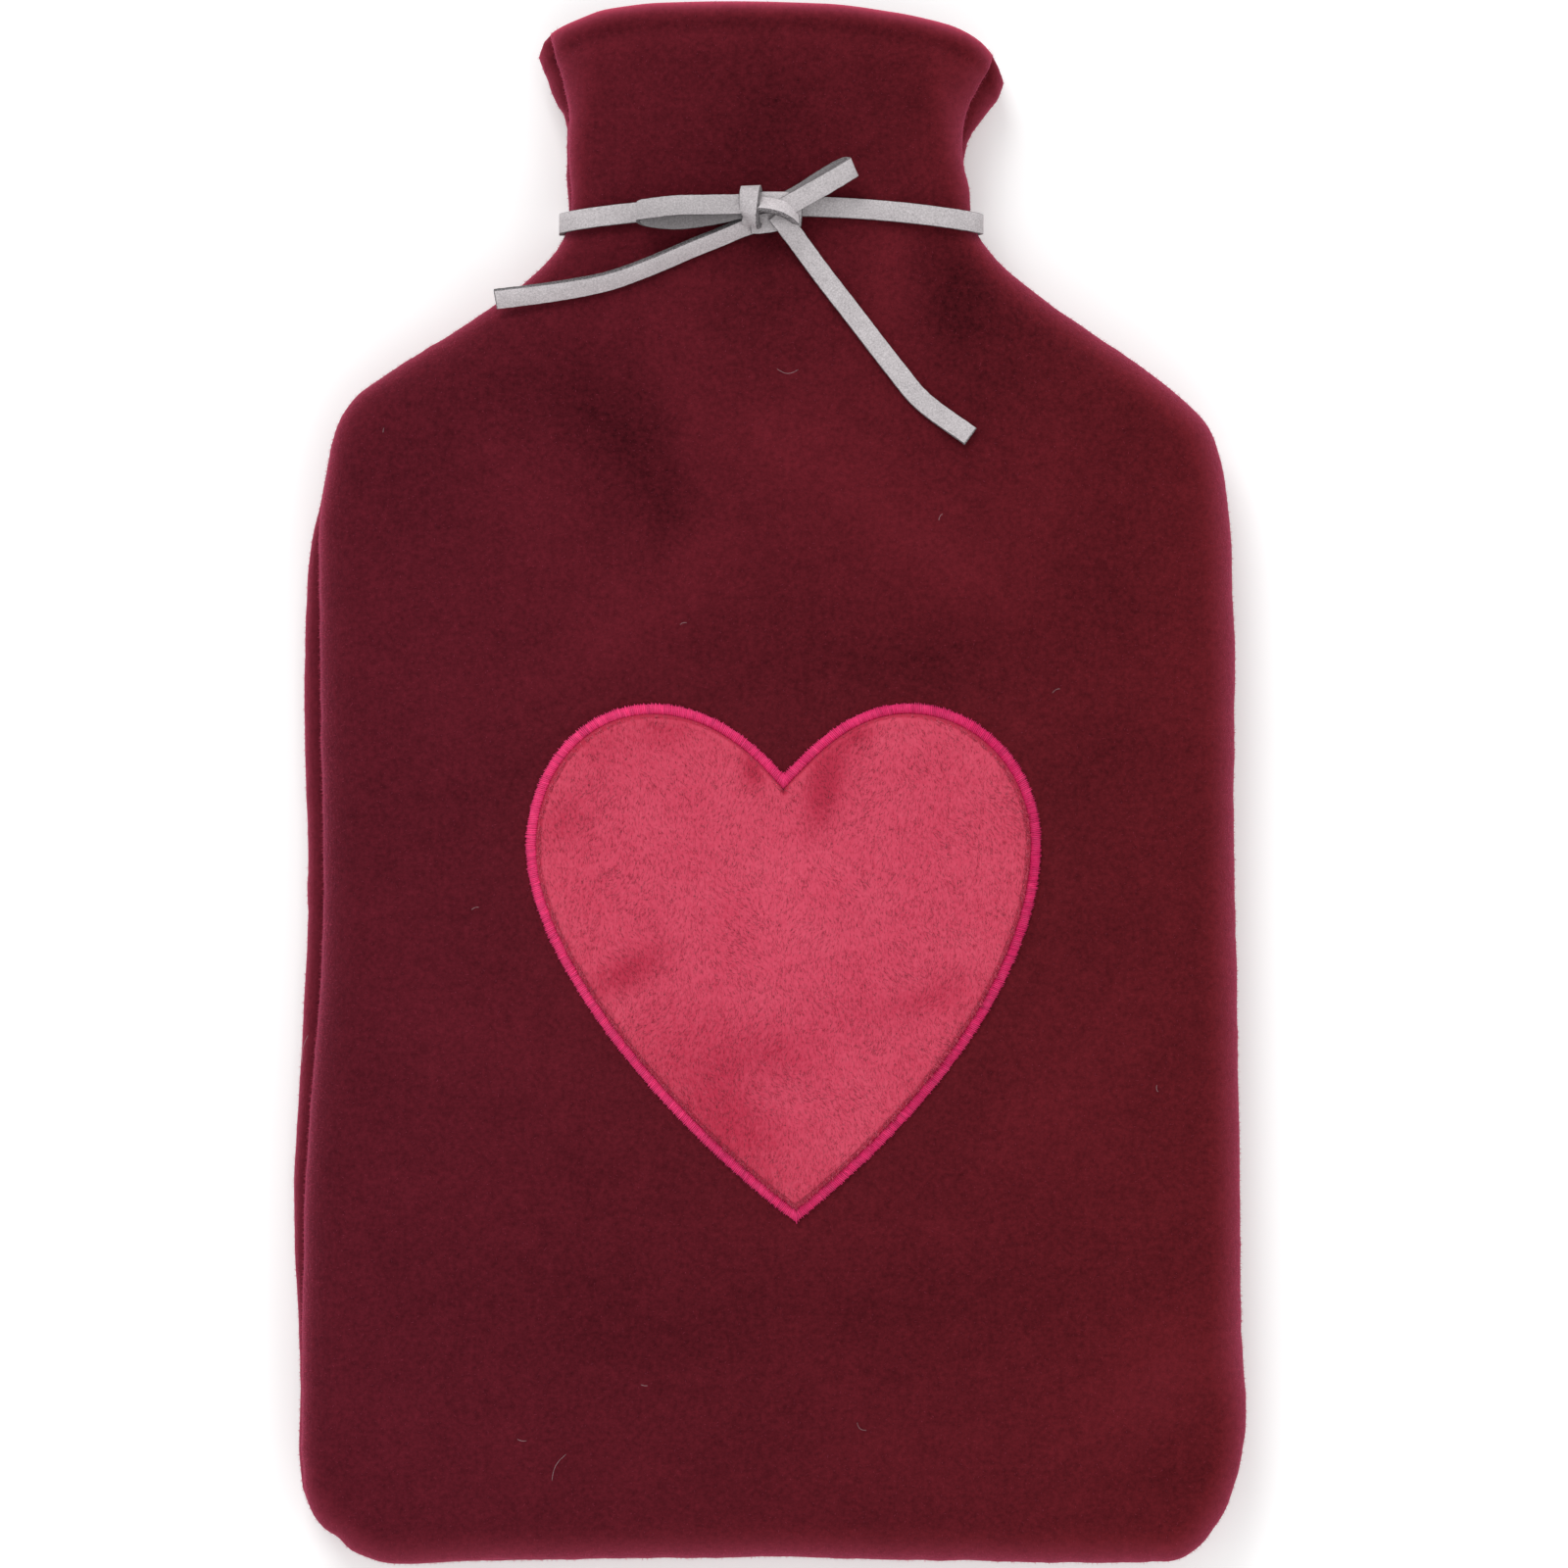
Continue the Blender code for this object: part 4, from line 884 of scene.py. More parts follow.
def deselect():
    bpy.ops.object.select_all(action="DESELECT")


def taken_apart(item):
    """The points and faces of a modelled object, which is then removed."""
    points = [vert.co.copy() for vert in item.data.vertices]
    faces = [tuple(face.vertices) for face in item.data.polygons]
    bpy.data.objects.remove(item, do_unlink=True)
    return points, faces


def rod_pattern(sides, parts):
    """One rod of unit radius and length along +Y, cut across into parts."""
    deselect()
    bpy.ops.mesh.primitive_cylinder_add(vertices=sides, radius=1, depth=1, location=(0, 0.5, 0),
                                        rotation=(-math.pi / 2, 0, 0))
    item = bpy.context.object
    bpy.ops.object.transform_apply(location=True, rotation=True, scale=True)
    bpy.ops.object.mode_set(mode="EDIT")
    for part in range(1, parts):
        bpy.ops.mesh.select_all(action="SELECT")
        bpy.ops.mesh.bisect(plane_co=(0, part / parts, 0), plane_no=(0, 1, 0))
    bpy.ops.object.mode_set(mode="OBJECT")
    return taken_apart(item)


def spike_pattern():
    """One three-sided spike of unit radius and length along +Z."""
    deselect()
    bpy.ops.mesh.primitive_cone_add(vertices=3, radius1=1, radius2=0, depth=1, location=(0, 0, 0.5))
    item = bpy.context.object
    bpy.ops.object.transform_apply(location=True, rotation=True, scale=True)
    return taken_apart(item)


def copied(name, pattern, places, finish, tones=()):
    """One joined mesh of a pattern's copies, each with a tone of its own if there are tones.

    Each place is a function of the pattern's points.
    """
    points, faces = pattern
    all_points = []
    all_faces = []
    for place in places:
        start = len(all_points)
        all_points += [place(point) * MM for point in points]
        all_faces += [tuple(start + index for index in face) for face in faces]
    data = bpy.data.meshes.new(name)
    data.from_pydata(all_points, [], all_faces)
    if tones:
        every = [tone for tone in tones for _ in points]
        data.attributes.new("tone", "FLOAT", "POINT").data.foreach_set("value", every)
    data.shade_smooth()
    return linked(name, data, finish)


def spike_place(base, way, length, width):
    """Where a spike's points go: its base in the cloth, its tip along the way."""
    side = way.orthogonal().normalized()
    other = way.cross(side)

    def place(point):
        return base + side * (point.x * width) + other * (point.y * width) + way * (point.z * length)

    return place


# ---- lace --------------------------------------------------------------------------------
def lace_profile():
    """Points round the lace's section: across, through its thickness, and 1 on a cut edge."""
    half = LACE_WIDTH / 2
    flat = half - LACE_CORNER
    deep = LACE_THICK / 2
    points = []
    for side in (1, -1):
        for angle in (-90, -45, 0, 45, 90):
            turn = math.radians(angle)
            level = deep - LACE_CORNER
            rise = math.copysign(level, angle) if angle else 0.0
            across = side * (flat + LACE_CORNER * math.cos(turn))
            up = side * (rise + LACE_CORNER * math.sin(turn))
            points.append((across, up, 1.0 if abs(angle) < 60 else 0.0))
        points.append((side * flat * LACE_MIDDLE, side * deep, 0.0))
    return points


def smooth_route(rows, step):
    """Evenly spaced rows of a route's columns, on a smooth line through its points."""
    points = [Vector(row) for row in rows]
    points = [points[0] * 2 - points[1]] + points + [points[-1] * 2 - points[-2]]
    fine = []
    for p, q, r, s in zip(points, points[1:], points[2:], points[3:]):
        for part in range(ROUTE_PARTS):
            t = part / ROUTE_PARTS
            fine.append(0.5 * (2 * q + (r - p) * t + (2 * p - 5 * q + 4 * r - s) * t * t
                               + (3 * q - p - 3 * r + s) * t ** 3))
    fine.append(points[-2])
    lengths = [0.0]
    for a, b in zip(fine, fine[1:]):
        lengths.append(lengths[-1] + (Vector(b[:3]) - Vector(a[:3])).length)
    count = max(2, round(lengths[-1] / step))
    goals = [lengths[-1] * part / count for part in range(count + 1)]
    return [fine[at].lerp(fine[at + 1], share) for at, share in stretches(lengths, goals)]


def add_band(mesh, first, second, flip):
    """Faces between two closed loops of the same count."""
    count = len(first)
    for index in range(count):
        after = (index + 1) % count
        corners = (first[index], second[index], second[after], first[after])
        mesh.faces.new(corners if flip else corners[::-1])


def lace_piece(name, rows, finish, painted_face_light):
    """A flat lace along a route, its width held to the route's ways, and the route's middles."""
    mesh = bmesh.new()
    cut = mesh.verts.layers.float.new("cut")
    tone = mesh.verts.layers.float.new("tone")
    placed = [(*lifted(*row[:3]), *row[2:]) for row in rows]
    route = table(ROUTE_COLUMNS, smooth_route(placed, LACE_STEP))
    middles = [Vector((point["x"], point["y"], point["z"])) for point in route]
    frames = []
    for index, point in enumerate(route):
        before = middles[max(index - 1, 0)]
        after = middles[min(index + 1, len(middles) - 1)]
        along = (after - before).normalized()
        way = math.radians(point["way"])
        lean = math.radians(point["lean"])
        level = math.cos(lean)
        side = Vector((math.cos(way) * level, math.sin(way) * level, math.sin(lean)))
        side = (side - along * side.dot(along)).normalized()
        frames.append((middles[index], side, side.cross(along)))
    faces_up = sum(up.z for _, _, up in frames[:len(frames) // 2]) > 0
    profile = lace_profile()
    rings = []
    for middle, side, up in frames:
        ring = []
        for across, through, is_cut in profile:
            place = middle + side * across + up * through
            place += side * (LACE_WOBBLE * is_cut * noise.noise(place * LACE_WAVE))
            vert = mesh.verts.new(place)
            vert[cut] = is_cut
            # the face takes its painted light, the other side painted shade
            vert[tone] = painted_face_light if (through > 0) == faces_up else UNDERSIDE_SHADE
            ring.append(vert)
        rings.append(ring)
    for first, second in zip(rings, rings[1:]):
        add_band(mesh, first, second, True)
    for ring in (rings[0], rings[-1][::-1]):
        face = mesh.faces.new(ring)
        inset = bmesh.ops.inset_region(mesh, faces=[face], thickness=END_INSET, depth=END_BULGE)
        for end in inset["faces"] + [face]:
            for vert in end.verts:
                vert[cut] = 1.0
    bmesh.ops.recalc_face_normals(mesh, faces=mesh.faces[:])
    return finished(name, mesh, finish), [middle * MM for middle in middles]


def band_level(x):
    return BAND_LEVEL - BAND_FALL * (x / NECK_HALF) ** 2


def rolled_side(side, is_front, shift):
    """Section of one rolled edge under the band, from its widest place inwards."""
    inward = 1 if side == "left" else -1
    y = band_level(NECK_HALF) + shift
    tuck = edge_at["tuck_" + side](y) * (1 if is_front else -1)
    roll = FRONT_ROLL if is_front else BACK_ROLL
    points = []
    for step in range(BAND_CURVE_STEPS + 1):
        turn = math.pi / 2 * (1 - step / BAND_CURVE_STEPS)
        x = edge_at[side](y) + inward * (max(tuck, 0.0) + roll * (1 - math.sin(turn)))
        here = band_level(x) + shift
        height = front_height(x, here, turn) if is_front else back_height(here, turn)
        points.append(Vector((x, height)))
    return points


def neck_section(shift):
    """The cloth's section under the band, moved up the neck by a shift."""
    left = rolled_side("left", False, shift)[::-1] + rolled_side("left", True, shift)
    right = rolled_side("right", True, shift)[::-1] + rolled_side("right", False, shift)
    crown = []
    steps = 4 * BAND_CURVE_STEPS
    for step in range(1, steps):
        x = left[-1].x + (right[0].x - left[-1].x) * step / steps
        crown.append(Vector((x, front_height(x, band_level(x) + shift))))
    return left + crown + right


def offset_loop(points, distance):
    """A closed clockwise loop moved inwards by a distance, with mitred corners."""
    moved = []
    count = len(points)
    for index, here in enumerate(points):
        before = (here - points[index - 1]).normalized()
        after = (points[(index + 1) % count] - here).normalized()
        normal = Vector((before.y + after.y, -before.x - after.x)).normalized()
        reach = normal.dot(Vector((before.y, -before.x)))
        moved.append(here + normal * distance / max(reach, 0.5))
    return moved


def band_piece(finish):
    """The lace round the neck, drawn tight over the widest of the cloth under it."""
    half = LACE_WIDTH / 2
    sections = [neck_section(shift) for shift in (-half, 0.0, half)]
    middle = Vector((0.0, height_at["seam"](TIE_Y)))
    cloth = []
    for places in zip(*sections):
        widest = max(abs(place.x) for place in places)
        away = max(abs(place.y - middle.y) for place in places)
        x = math.copysign(widest, places[1].x)
        cloth.append(Vector((x, middle.y + math.copysign(away, places[1].y - middle.y))))
    mesh = bmesh.new()
    cut = mesh.verts.layers.float.new("cut")
    loops = []
    for across, through, is_cut in lace_profile():
        loop = []
        for place in offset_loop(cloth, -BAND_CLEARANCE - LACE_THICK / 2 - through):
            point = Vector((place.x, band_level(place.x) + across, place.y))
            point.y += LACE_WOBBLE * is_cut * noise.noise(point * LACE_WAVE)
            vert = mesh.verts.new(point)
            vert[cut] = is_cut
            loop.append(vert)
        loops.append(loop)
    for first, second in zip(loops, loops[1:] + loops[:1]):
        add_band(mesh, first, second, True)
    bmesh.ops.recalc_face_normals(mesh, faces=mesh.faces[:])
    return finished("lace_band", mesh, finish)


def knot_core(finish):
    """The squeezed middle of the knot, under its straps."""
    deselect()
    bpy.ops.mesh.primitive_cube_add(size=MM, location=Vector(KNOT_CENTRE) * MM)
    core = bpy.context.object
    core.name = "knot_core"
    core.scale = KNOT_SIZE
    bpy.ops.object.transform_apply(location=True, rotation=True, scale=True)
    bpy.ops.object.mode_set(mode="EDIT")
    bpy.ops.mesh.select_all(action="SELECT")
    bpy.ops.mesh.bevel(offset=KNOT_ROUND * MM, segments=4)
    bpy.ops.object.mode_set(mode="OBJECT")
    core.data.shade_smooth()
    core.data.materials.append(finish)
    return core


# ---- the two panels ----------------------------------------------------------------------
class Panel:
    """Outer points of one panel: rings round its rolled edge, then rows across its middle."""

    def __init__(self, is_front, curve, line_step):
        self.is_front = is_front
        self.turns = [math.radians(angle) for angle in curve]
        self.roll = FRONT_ROLL if is_front else BACK_ROLL
        line, turn_left, turn_right = outline_line()
        side_length = run_lengths(line[:turn_left + 1])[-1]
        bottom_length = run_lengths(line[turn_left:turn_right + 1])[-1]
        self.shares = line_shares(RIM_LINES, line_step, side_length)
        self.across = line_shares((0.0,), line_step, bottom_length)
        self.rows = len(self.shares) - 1
        self.columns = len(self.across) - 1
        left = along_line(line, 0, turn_left, self.shares)
        bottom = along_line(line, turn_left, turn_right, self.across)
        back_up = [1 - share for share in self.shares[::-1]]
        right = along_line(line, turn_right, len(line) - 1, back_up)
        self.edge = left[:-1] + bottom + right[1:]

    def inset(self, place, tuck, turn):
        """Distance in from the outline of a place round the rolled edge."""
        own_tuck = max(tuck, 0.0) if self.is_front else max(-tuck, 0.0)
        other_tuck = max(-tuck, 0.0) if self.is_front else max(tuck, 0.0)
        uneven = waves(Vector((place.x, place.y, EDGES_APART * self.is_front)), EDGE_WAVES)
        for pucker in PUCKERS:
            away = math.hypot(place.x - pucker["x"], place.y - pucker["y"]) / pucker["reach"]
            uneven += pucker["pull"] * math.exp(-away ** 2)
        own_tuck += uneven * math.sin(turn)
        if turn > math.pi / 2:
            run = (GROOVE + other_tuck) / (1 - math.sin(CURL_END))
            return own_tuck + run * (1 - math.sin(turn))
        return own_tuck + self.roll * (1 - math.sin(turn))

    def height(self, x, y, turn=0.0):
        if self.is_front:
            return front_height(x, y, turn)
        return back_height(y, turn)

    def ring_place(self, station, turn):
        """Level position of a station's place, before the rim is arched."""
        place, inward, tuck = self.edge[station]
        return place + inward * self.inset(place, tuck, turn)

    def middle_places(self):
        """Level positions of the middle's rows and columns, between the innermost ring's."""
        ring = [self.ring_place(station, self.turns[-1]) for station in range(len(self.edge))]
        rows = self.rows
        left = ring[:rows + 1]
        bottom = ring[rows:rows + self.columns + 1]
        right = ring[rows + self.columns:][::-1]
        places = []
        for row, down in enumerate(self.shares):
            line = []
            for column, across in enumerate(self.across):
                rim = left[0].lerp(right[0], across)
                sides = left[row].lerp(right[row], across)
                ends = rim.lerp(bottom[column], down)
                corners = rim.lerp(bottom[0].lerp(bottom[-1], across), down)
                line.append(sides + ends - corners)
            places.append(line)
        return places

    def point(self, place, turn=0.0):
        height = self.height(place.x, place.y, turn)
        return Vector((place.x, arched(place.x, place.y), height))


def painted_edge_highlight(x, y, turn, tuck):
    """How much paler the nap is painted at a turn round the rolled edge: a painted highlight."""
    share = min(max(0.5 + x / SIDES_SPAN, 0.0), 1.0)
    share = max(share, smooth_step((LEFT_END_Y - y) / LEFT_END_REACH))
    power = LEFT_POWER + (RIGHT_POWER - LEFT_POWER) * share
    if turn > math.pi / 2:
        power = CURL_POWER
    return EDGE_HIGHLIGHT * (1 - TUCK_SHADE * max(tuck, 0.0)) * math.sin(turn) ** power


def painted_hem_light(below, is_front):
    """Painted light on the hem so far below its rim: a painted highlight at the rim and painted
    shade along the topstitching.
    """
    tone = RIM_HIGHLIGHT * (1.0 if is_front else BACK_RIM) * math.exp(-max(below, 0.0) / RIM_FADE)
    for middle, reach, extra in HEM_SHADE_AND_HIGHLIGHT:
        tone += extra * math.exp(-((below - middle) / reach) ** 2)
    return tone


def panel_piece(name, panel, finish):
    """One closed cloth piece from a panel's outer points, and the faces of its outer side."""
    sign = 1 if panel.is_front else -1
    mesh = bmesh.new()
    tone = mesh.verts.layers.float.new("tone")
    depth = {}
    below = {}
    # painted highlight and painted shade of each point, from its rolled edge and hem
    pale = {}
    loose = {}
    seam_way = {}
    rings = []
    for turn in panel.turns:
        ring = []
        for station in range(len(panel.edge)):
            place = panel.ring_place(station, turn)
            point = panel.point(place, turn)
            if turn == panel.turns[0]:
                point.z += sign * GAP / 2
            vert = mesh.verts.new(point)
            hemmed = MOUTH_Y - place.y < HEM_DEPTH + 0.1
            fullness = max(math.cos(turn), 0.0)
            squeeze = 1 - (1 - SQUEEZE) * math.sin(turn) ** 2
            depth[vert] = CLOTH * squeeze + (HEM - CLOTH) * fullness * hemmed
            below[vert] = MOUTH_Y - place.y
            tuck = panel.edge[station][2] * sign
            pale[vert] = painted_edge_highlight(place.x, place.y, turn, tuck)
            pale[vert] += painted_hem_light(below[vert], panel.is_front)
            loose[vert] = smooth_step((panel.turns[0] - turn) / SEAM_FADE)
            if turn == panel.turns[0]:
                inward = panel.edge[station][1]
                seam_way[vert] = Vector((inward.x, inward.y, 0.0))
            ring.append(vert)
        rings.append(ring)
    rows = panel.rows
    columns = panel.columns
    inner = rings[-1]
    grid = []
    for row, line in enumerate(panel.middle_places()):
        grid_row = []
        for column, place in enumerate(line):
            if column == 0:
                vert = inner[row]
            elif column == columns:
                vert = inner[len(inner) - 1 - row]
            elif row == rows:
                vert = inner[rows + column]
            else:
                vert = mesh.verts.new(panel.point(place))
                below[vert] = MOUTH_Y - place.y
                pale[vert] = painted_hem_light(below[vert], panel.is_front)
                depth[vert] = HEM if below[vert] < HEM_DEPTH + 0.1 else CLOTH
                loose[vert] = 1.0
            grid_row.append(vert)
        grid.append(grid_row)
    faces = []
    for outer_ring, inner_ring in zip(rings, rings[1:]):
        for a, b, c, d in zip(outer_ring, outer_ring[1:], inner_ring[1:], inner_ring):
            faces.append((a, b, c, d))
    for upper, lower in zip(grid, grid[1:]):
        for a, b, c, d in zip(upper, lower, lower[1:], upper[1:]):
            faces.append((a, b, c, d))
    for face in faces:
        mesh.faces.new(face if panel.is_front else face[::-1])
    mesh.normal_update()
    for vert in mesh.verts:
        swell = waves(vert.co + Vector((0.0, 0.0, SWELLS_APART * sign)), SWELLS)
        vert.co += vert.normal * (swell * loose[vert])
        vert.co.z = max(vert.co.z, 0.0)
        vert[tone] = pale[vert]
        if panel.is_front:
            # painted shade and painted highlight over the front's folds, and painted shadow near the
            # knot
            vert[tone] += spread(FRONT_PAINTED_LIGHT, "tone", vert.co.x, vert.co.y)
    mesh.normal_update()
    thicken(mesh, depth, seam_way, below)
    outer = [(face.calc_center_median(), face.normal.copy(), face.calc_area(),
              [vert.co.copy() for vert in face.verts]) for face in list(mesh.faces)[:len(faces)]]
    return finished(name, mesh, finish), outer


def thicken(mesh, depth, seam_way, below):
    """Give an open sheet its inner face, round it over at the rim and close its edge."""
    inner = {}
    outer_faces = list(mesh.faces)
    edges = [edge for edge in mesh.edges if edge.is_boundary]
    for vert in list(mesh.verts):
        inward = seam_way.get(vert, -vert.normal)
        if below[vert] < HEM_DEPTH + 1:
            inward = Vector((inward.x, 0.0, inward.z)).normalized()
        half = depth[vert] / 2
        short = max(half - below[vert], 0.0)
        drop = half - math.sqrt(max(half * half - short * short, 0.0))
        drop = min(drop, half - BARE_EDGE / 2)
        if vert not in seam_way:
            vert.co += inward * drop
        inner[vert] = mesh.verts.new(vert.co + inward * (depth[vert] - 2 * drop))
    for edge in edges:
        face = edge.link_faces[0]
        first = next(loop.vert for loop in face.loops if loop.edge == edge)
        second = edge.other_vert(first)
        mesh.faces.new((second, first, inner[first], inner[second]))
    for face in outer_faces:
        mesh.faces.new([inner[vert] for vert in face.verts][::-1])


# ---- heart -------------------------------------------------------------------------------
def heart_outline():
    """Points round the outer edge of the heart's border, clockwise from the tip."""
    rows = table(HEART_COLUMNS, HEART_ROWS)
    points = []
    for start, end in zip(rows, rows[1:] + rows[:1]):
        a = Vector((start["x"], start["y"]))
        b = Vector((end["x"], end["y"]))
        first = a + heading(math.radians(start["heading_out"])) * start["after"]
        second = b - heading(math.radians(end["heading_in"])) * end["before"]
        points += interpolate_bezier(a, first, second, b, HEART_STEPS + 1)[:-1]
    return [lifted(point.x, point.y, HEART_LEVEL) for point in points]


def distance_to(place, loop):
    """Distance in plan from a place to the nearest point of a closed loop."""
    return min((place - point).length for point in loop)


def inner_loop(outline, distance):
    """The outline moved inwards, without the points that would cross at a sharp corner."""
    moved = offset_loop(outline, distance)
    return [place for place in moved if distance_to(place, outline) > distance * INSET_NEAR]


def even_loop(loop, step):
    """A closed loop's points at even steps."""
    closed = loop + loop[:1]
    lengths = [0.0]
    for a, b in zip(closed, closed[1:]):
        lengths.append(lengths[-1] + (b - a).length)
    count = round(lengths[-1] / step)
    goals = [lengths[-1] * part / count for part in range(count)]
    return [closed[at].lerp(closed[at + 1], share) for at, share in stretches(lengths, goals)]


def reach_to(place, way, loop):
    """Distance from a place along a way to a closed loop, or None."""
    best = None
    for a, b in zip(loop, loop[1:] + loop[:1]):
        edge = b - a
        cross = way.x * edge.y - way.y * edge.x
        if abs(cross) > TINY:
            gap = a - place
            along = (gap.x * edge.y - gap.y * edge.x) / cross
            share = (gap.x * way.y - gap.y * way.x) / cross
            if 0 <= share <= 1 and along > 0 and (best is None or along < best):
                best = along
    return best


def inside_loop(place, loop):
    inside = False
    for a, b in zip(loop, loop[1:] + loop[:1]):
        if (a.y > place.y) != (b.y > place.y):
            if place.x < a.x + (b.x - a.x) * (place.y - a.y) / (b.y - a.y):
                inside = not inside
    return inside


def loop_box(loop):
    low = Vector((min(point.x for point in loop), min(point.y for point in loop)))
    high = Vector((max(point.x for point in loop), max(point.y for point in loop)))
    return low, high


def plush_height(place, in_from_edge):
    thickness = PLUSH_EDGE + (PLUSH - PLUSH_EDGE) * smooth_step(in_from_edge / PLUSH_SHOULDER)
    uneven = waves(Vector((place.x, place.y, 5.0)), PLUSH_WAVES)
    return front_height(place.x, place.y) + SEAT + thickness + uneven


def plush_tone_and_shade(place, in_from_edge):
    # painted shade in the crease along the border
    crease = PLUSH_CREASE_SHADE * math.exp(-(in_from_edge / CREASE_REACH) ** 2)
    return spread(BRUSHED_AND_HOLE_SHADE, "tone", place.x, place.y) + crease


def heart_piece(outline, finish):
    """The plush heart: rings of points from its edge to its middle, on the fleece."""
    mesh = bmesh.new()
    tone = mesh.verts.layers.float.new("tone")
    centre = Vector(HEART_CENTRE)
    edge = even_loop(inner_loop(outline, BORDER_WIDTH * PLUSH_TUCK), HEART_POINT_STEP)
    layers = []
    for is_top, ring_count in ((False, HEART_UNDER_RINGS), (True, HEART_RINGS)):
        rings = []
        for ring_index in range(ring_count):
            share = 1 - ring_index / ring_count
            ring = []
            for point in edge:
                place = centre.lerp(point, share)
                level = front_height(place.x, place.y) + SEAT
                in_from_edge = (1 - share) * (point - centre).length
                if is_top:
                    level = plush_height(place, in_from_edge)
                vert = mesh.verts.new((place.x, place.y, level))
                vert[tone] = plush_tone_and_shade(place, in_from_edge)
                ring.append(vert)
            rings.append(ring)
        level = plush_height(centre, PLUSH_SHOULDER) if is_top else front_height(*centre) + SEAT
        middle = mesh.verts.new((centre.x, centre.y, level))
        layers.append(rings)
        for outer, inner in zip(rings, rings[1:]):
            add_band(mesh, outer, inner, is_top)
        last = rings[-1]
        for a, b in zip(last, last[1:] + last[:1]):
            mesh.faces.new((b, a, middle) if is_top else (a, b, middle))
    add_band(mesh, layers[0][0], layers[1][0], True)
    return finished("heart_plush", mesh, finish)


def border_base(outline, finish):
    """The padding under the satin stitches, a low rounded ridge round the heart."""
    mesh = bmesh.new()
    loops = []
    for across, up in BORDER_PROFILE:
        loop = []
        for place in offset_loop(outline[::BORDER_STRIDE], BORDER_WIDTH * across):
            level = front_height(place.x, place.y) + SEAT + BORDER_HEIGHT * up
            loop.append(mesh.verts.new((place.x, place.y, level)))
        loops.append(loop)
    for first, second in zip(loops, loops[1:] + loops[:1]):
        add_band(mesh, first, second, True)
    return finished("border_padding", mesh, finish)


def stitch_place(outer, inner, lead, width, arch):
    """Where a stitch's points go: from the border's outer edge over its padding to the inner."""
    run = inner - outer
    along = Vector((-run.y, run.x)).normalized()

    def place(point):
        t = point.y
        bulge = math.sin(math.pi * t) ** THREAD_FULLNESS if 0 < t < 1 else 0.0
        taper = width * (THREAD_TIP + (1 - THREAD_TIP) * bulge)
        spot = outer + run * t + along * (lead * (t - 0.5) + point.x * taper)
        level = front_height(spot.x, spot.y) + SEAT + arch * bulge
        depth = point.z * taper * THREAD_FLATNESS
        return Vector((spot.x, spot.y, level - THREAD_SEAT + depth))

    return place


def border_stitches(outline, finish):
    """Satin stitches side by side across the border, turning at its tip and notch."""
    middle = even_loop(inner_loop(outline, BORDER_WIDTH / 2), THREAD_PITCH)
    inside = inner_loop(outline, BORDER_WIDTH)
    window = round(CORNER_REACH / THREAD_PITCH)
    longest = LONGEST_STITCH * BORDER_WIDTH
    places = []
    tones = []
    for index, here in enumerate(middle):
        before = middle[index - window]
        after = middle[(index + window) % len(middle)]
        way = (after - before).normalized()
        inward = Vector((way.y, -way.x))
        out = reach_to(here, -inward, outline)
        into = reach_to(here, inward, inside)
        if out is None or into is None or out > longest or into > longest:
            continue
        outer = here - inward * (out + draw.uniform(-1, 1) * THREAD_JITTER)
        inner = here + inward * (into + draw.uniform(-1, 1) * THREAD_JITTER)
        lead = THREAD_SLANT + draw.uniform(-1, 1) * THREAD_JITTER
        width = THREAD * draw.uniform(*THREAD_WIDTHS)
        arch = THREAD_ARCH * draw.uniform(*THREAD_ARCHES)
        places.append(stitch_place(outer, inner, lead, width, arch))
        tones.append(draw.gauss(0, THREAD_TONES))
    return copied("heart_border", rod_pattern(5, 7), places, finish, tones)


# ---- pile and lint -----------------------------------------------------------------------
def brushed_way(place):
    """The way the plush is brushed at a place seen from above, in radians."""
    return BRUSH_HEADING + waves(Vector((place.x, place.y, 0.0)), BRUSH_SWAY)


def heart_pile(outline, finish):
    """Short tufts leaning along the brushed way, their roots in the plush."""
    edge = inner_loop(outline, BORDER_WIDTH - PILE_OVERLAP)[::PILE_STRIDE]
    low, high = loop_box(edge)
    count = round((high.x - low.x) * (high.y - low.y) * PILE_PER_MM2)
    places = []
    tones = []
    for _ in range(count):
        spot = Vector((draw.uniform(low.x, high.x), draw.uniform(low.y, high.y)))
        if not inside_loop(spot, edge):
            continue
        turn = brushed_way(spot) + draw.gauss(0, PILE_STRAY)
        rise = draw.uniform(*PILE_RISE)
        way = Vector((math.cos(turn), math.sin(turn), rise)).normalized()
        inside = distance_to(spot, edge)
        level = plush_height(spot, inside + PILE_OVERLAP) - PILE_ROOT
        length = PILE_LENGTH * draw.uniform(*PILE_LENGTHS)
        width = PILE_WIDTH * draw.uniform(*PILE_WIDTHS)
        places.append(spike_place(Vector((spot.x, spot.y, level)), way, length, width))
        tones.append(plush_tone_and_shade(spot, inside) + draw.gauss(0, PILE_TONES))
    return copied("heart_pile", spike_pattern(), places, finish, tones)


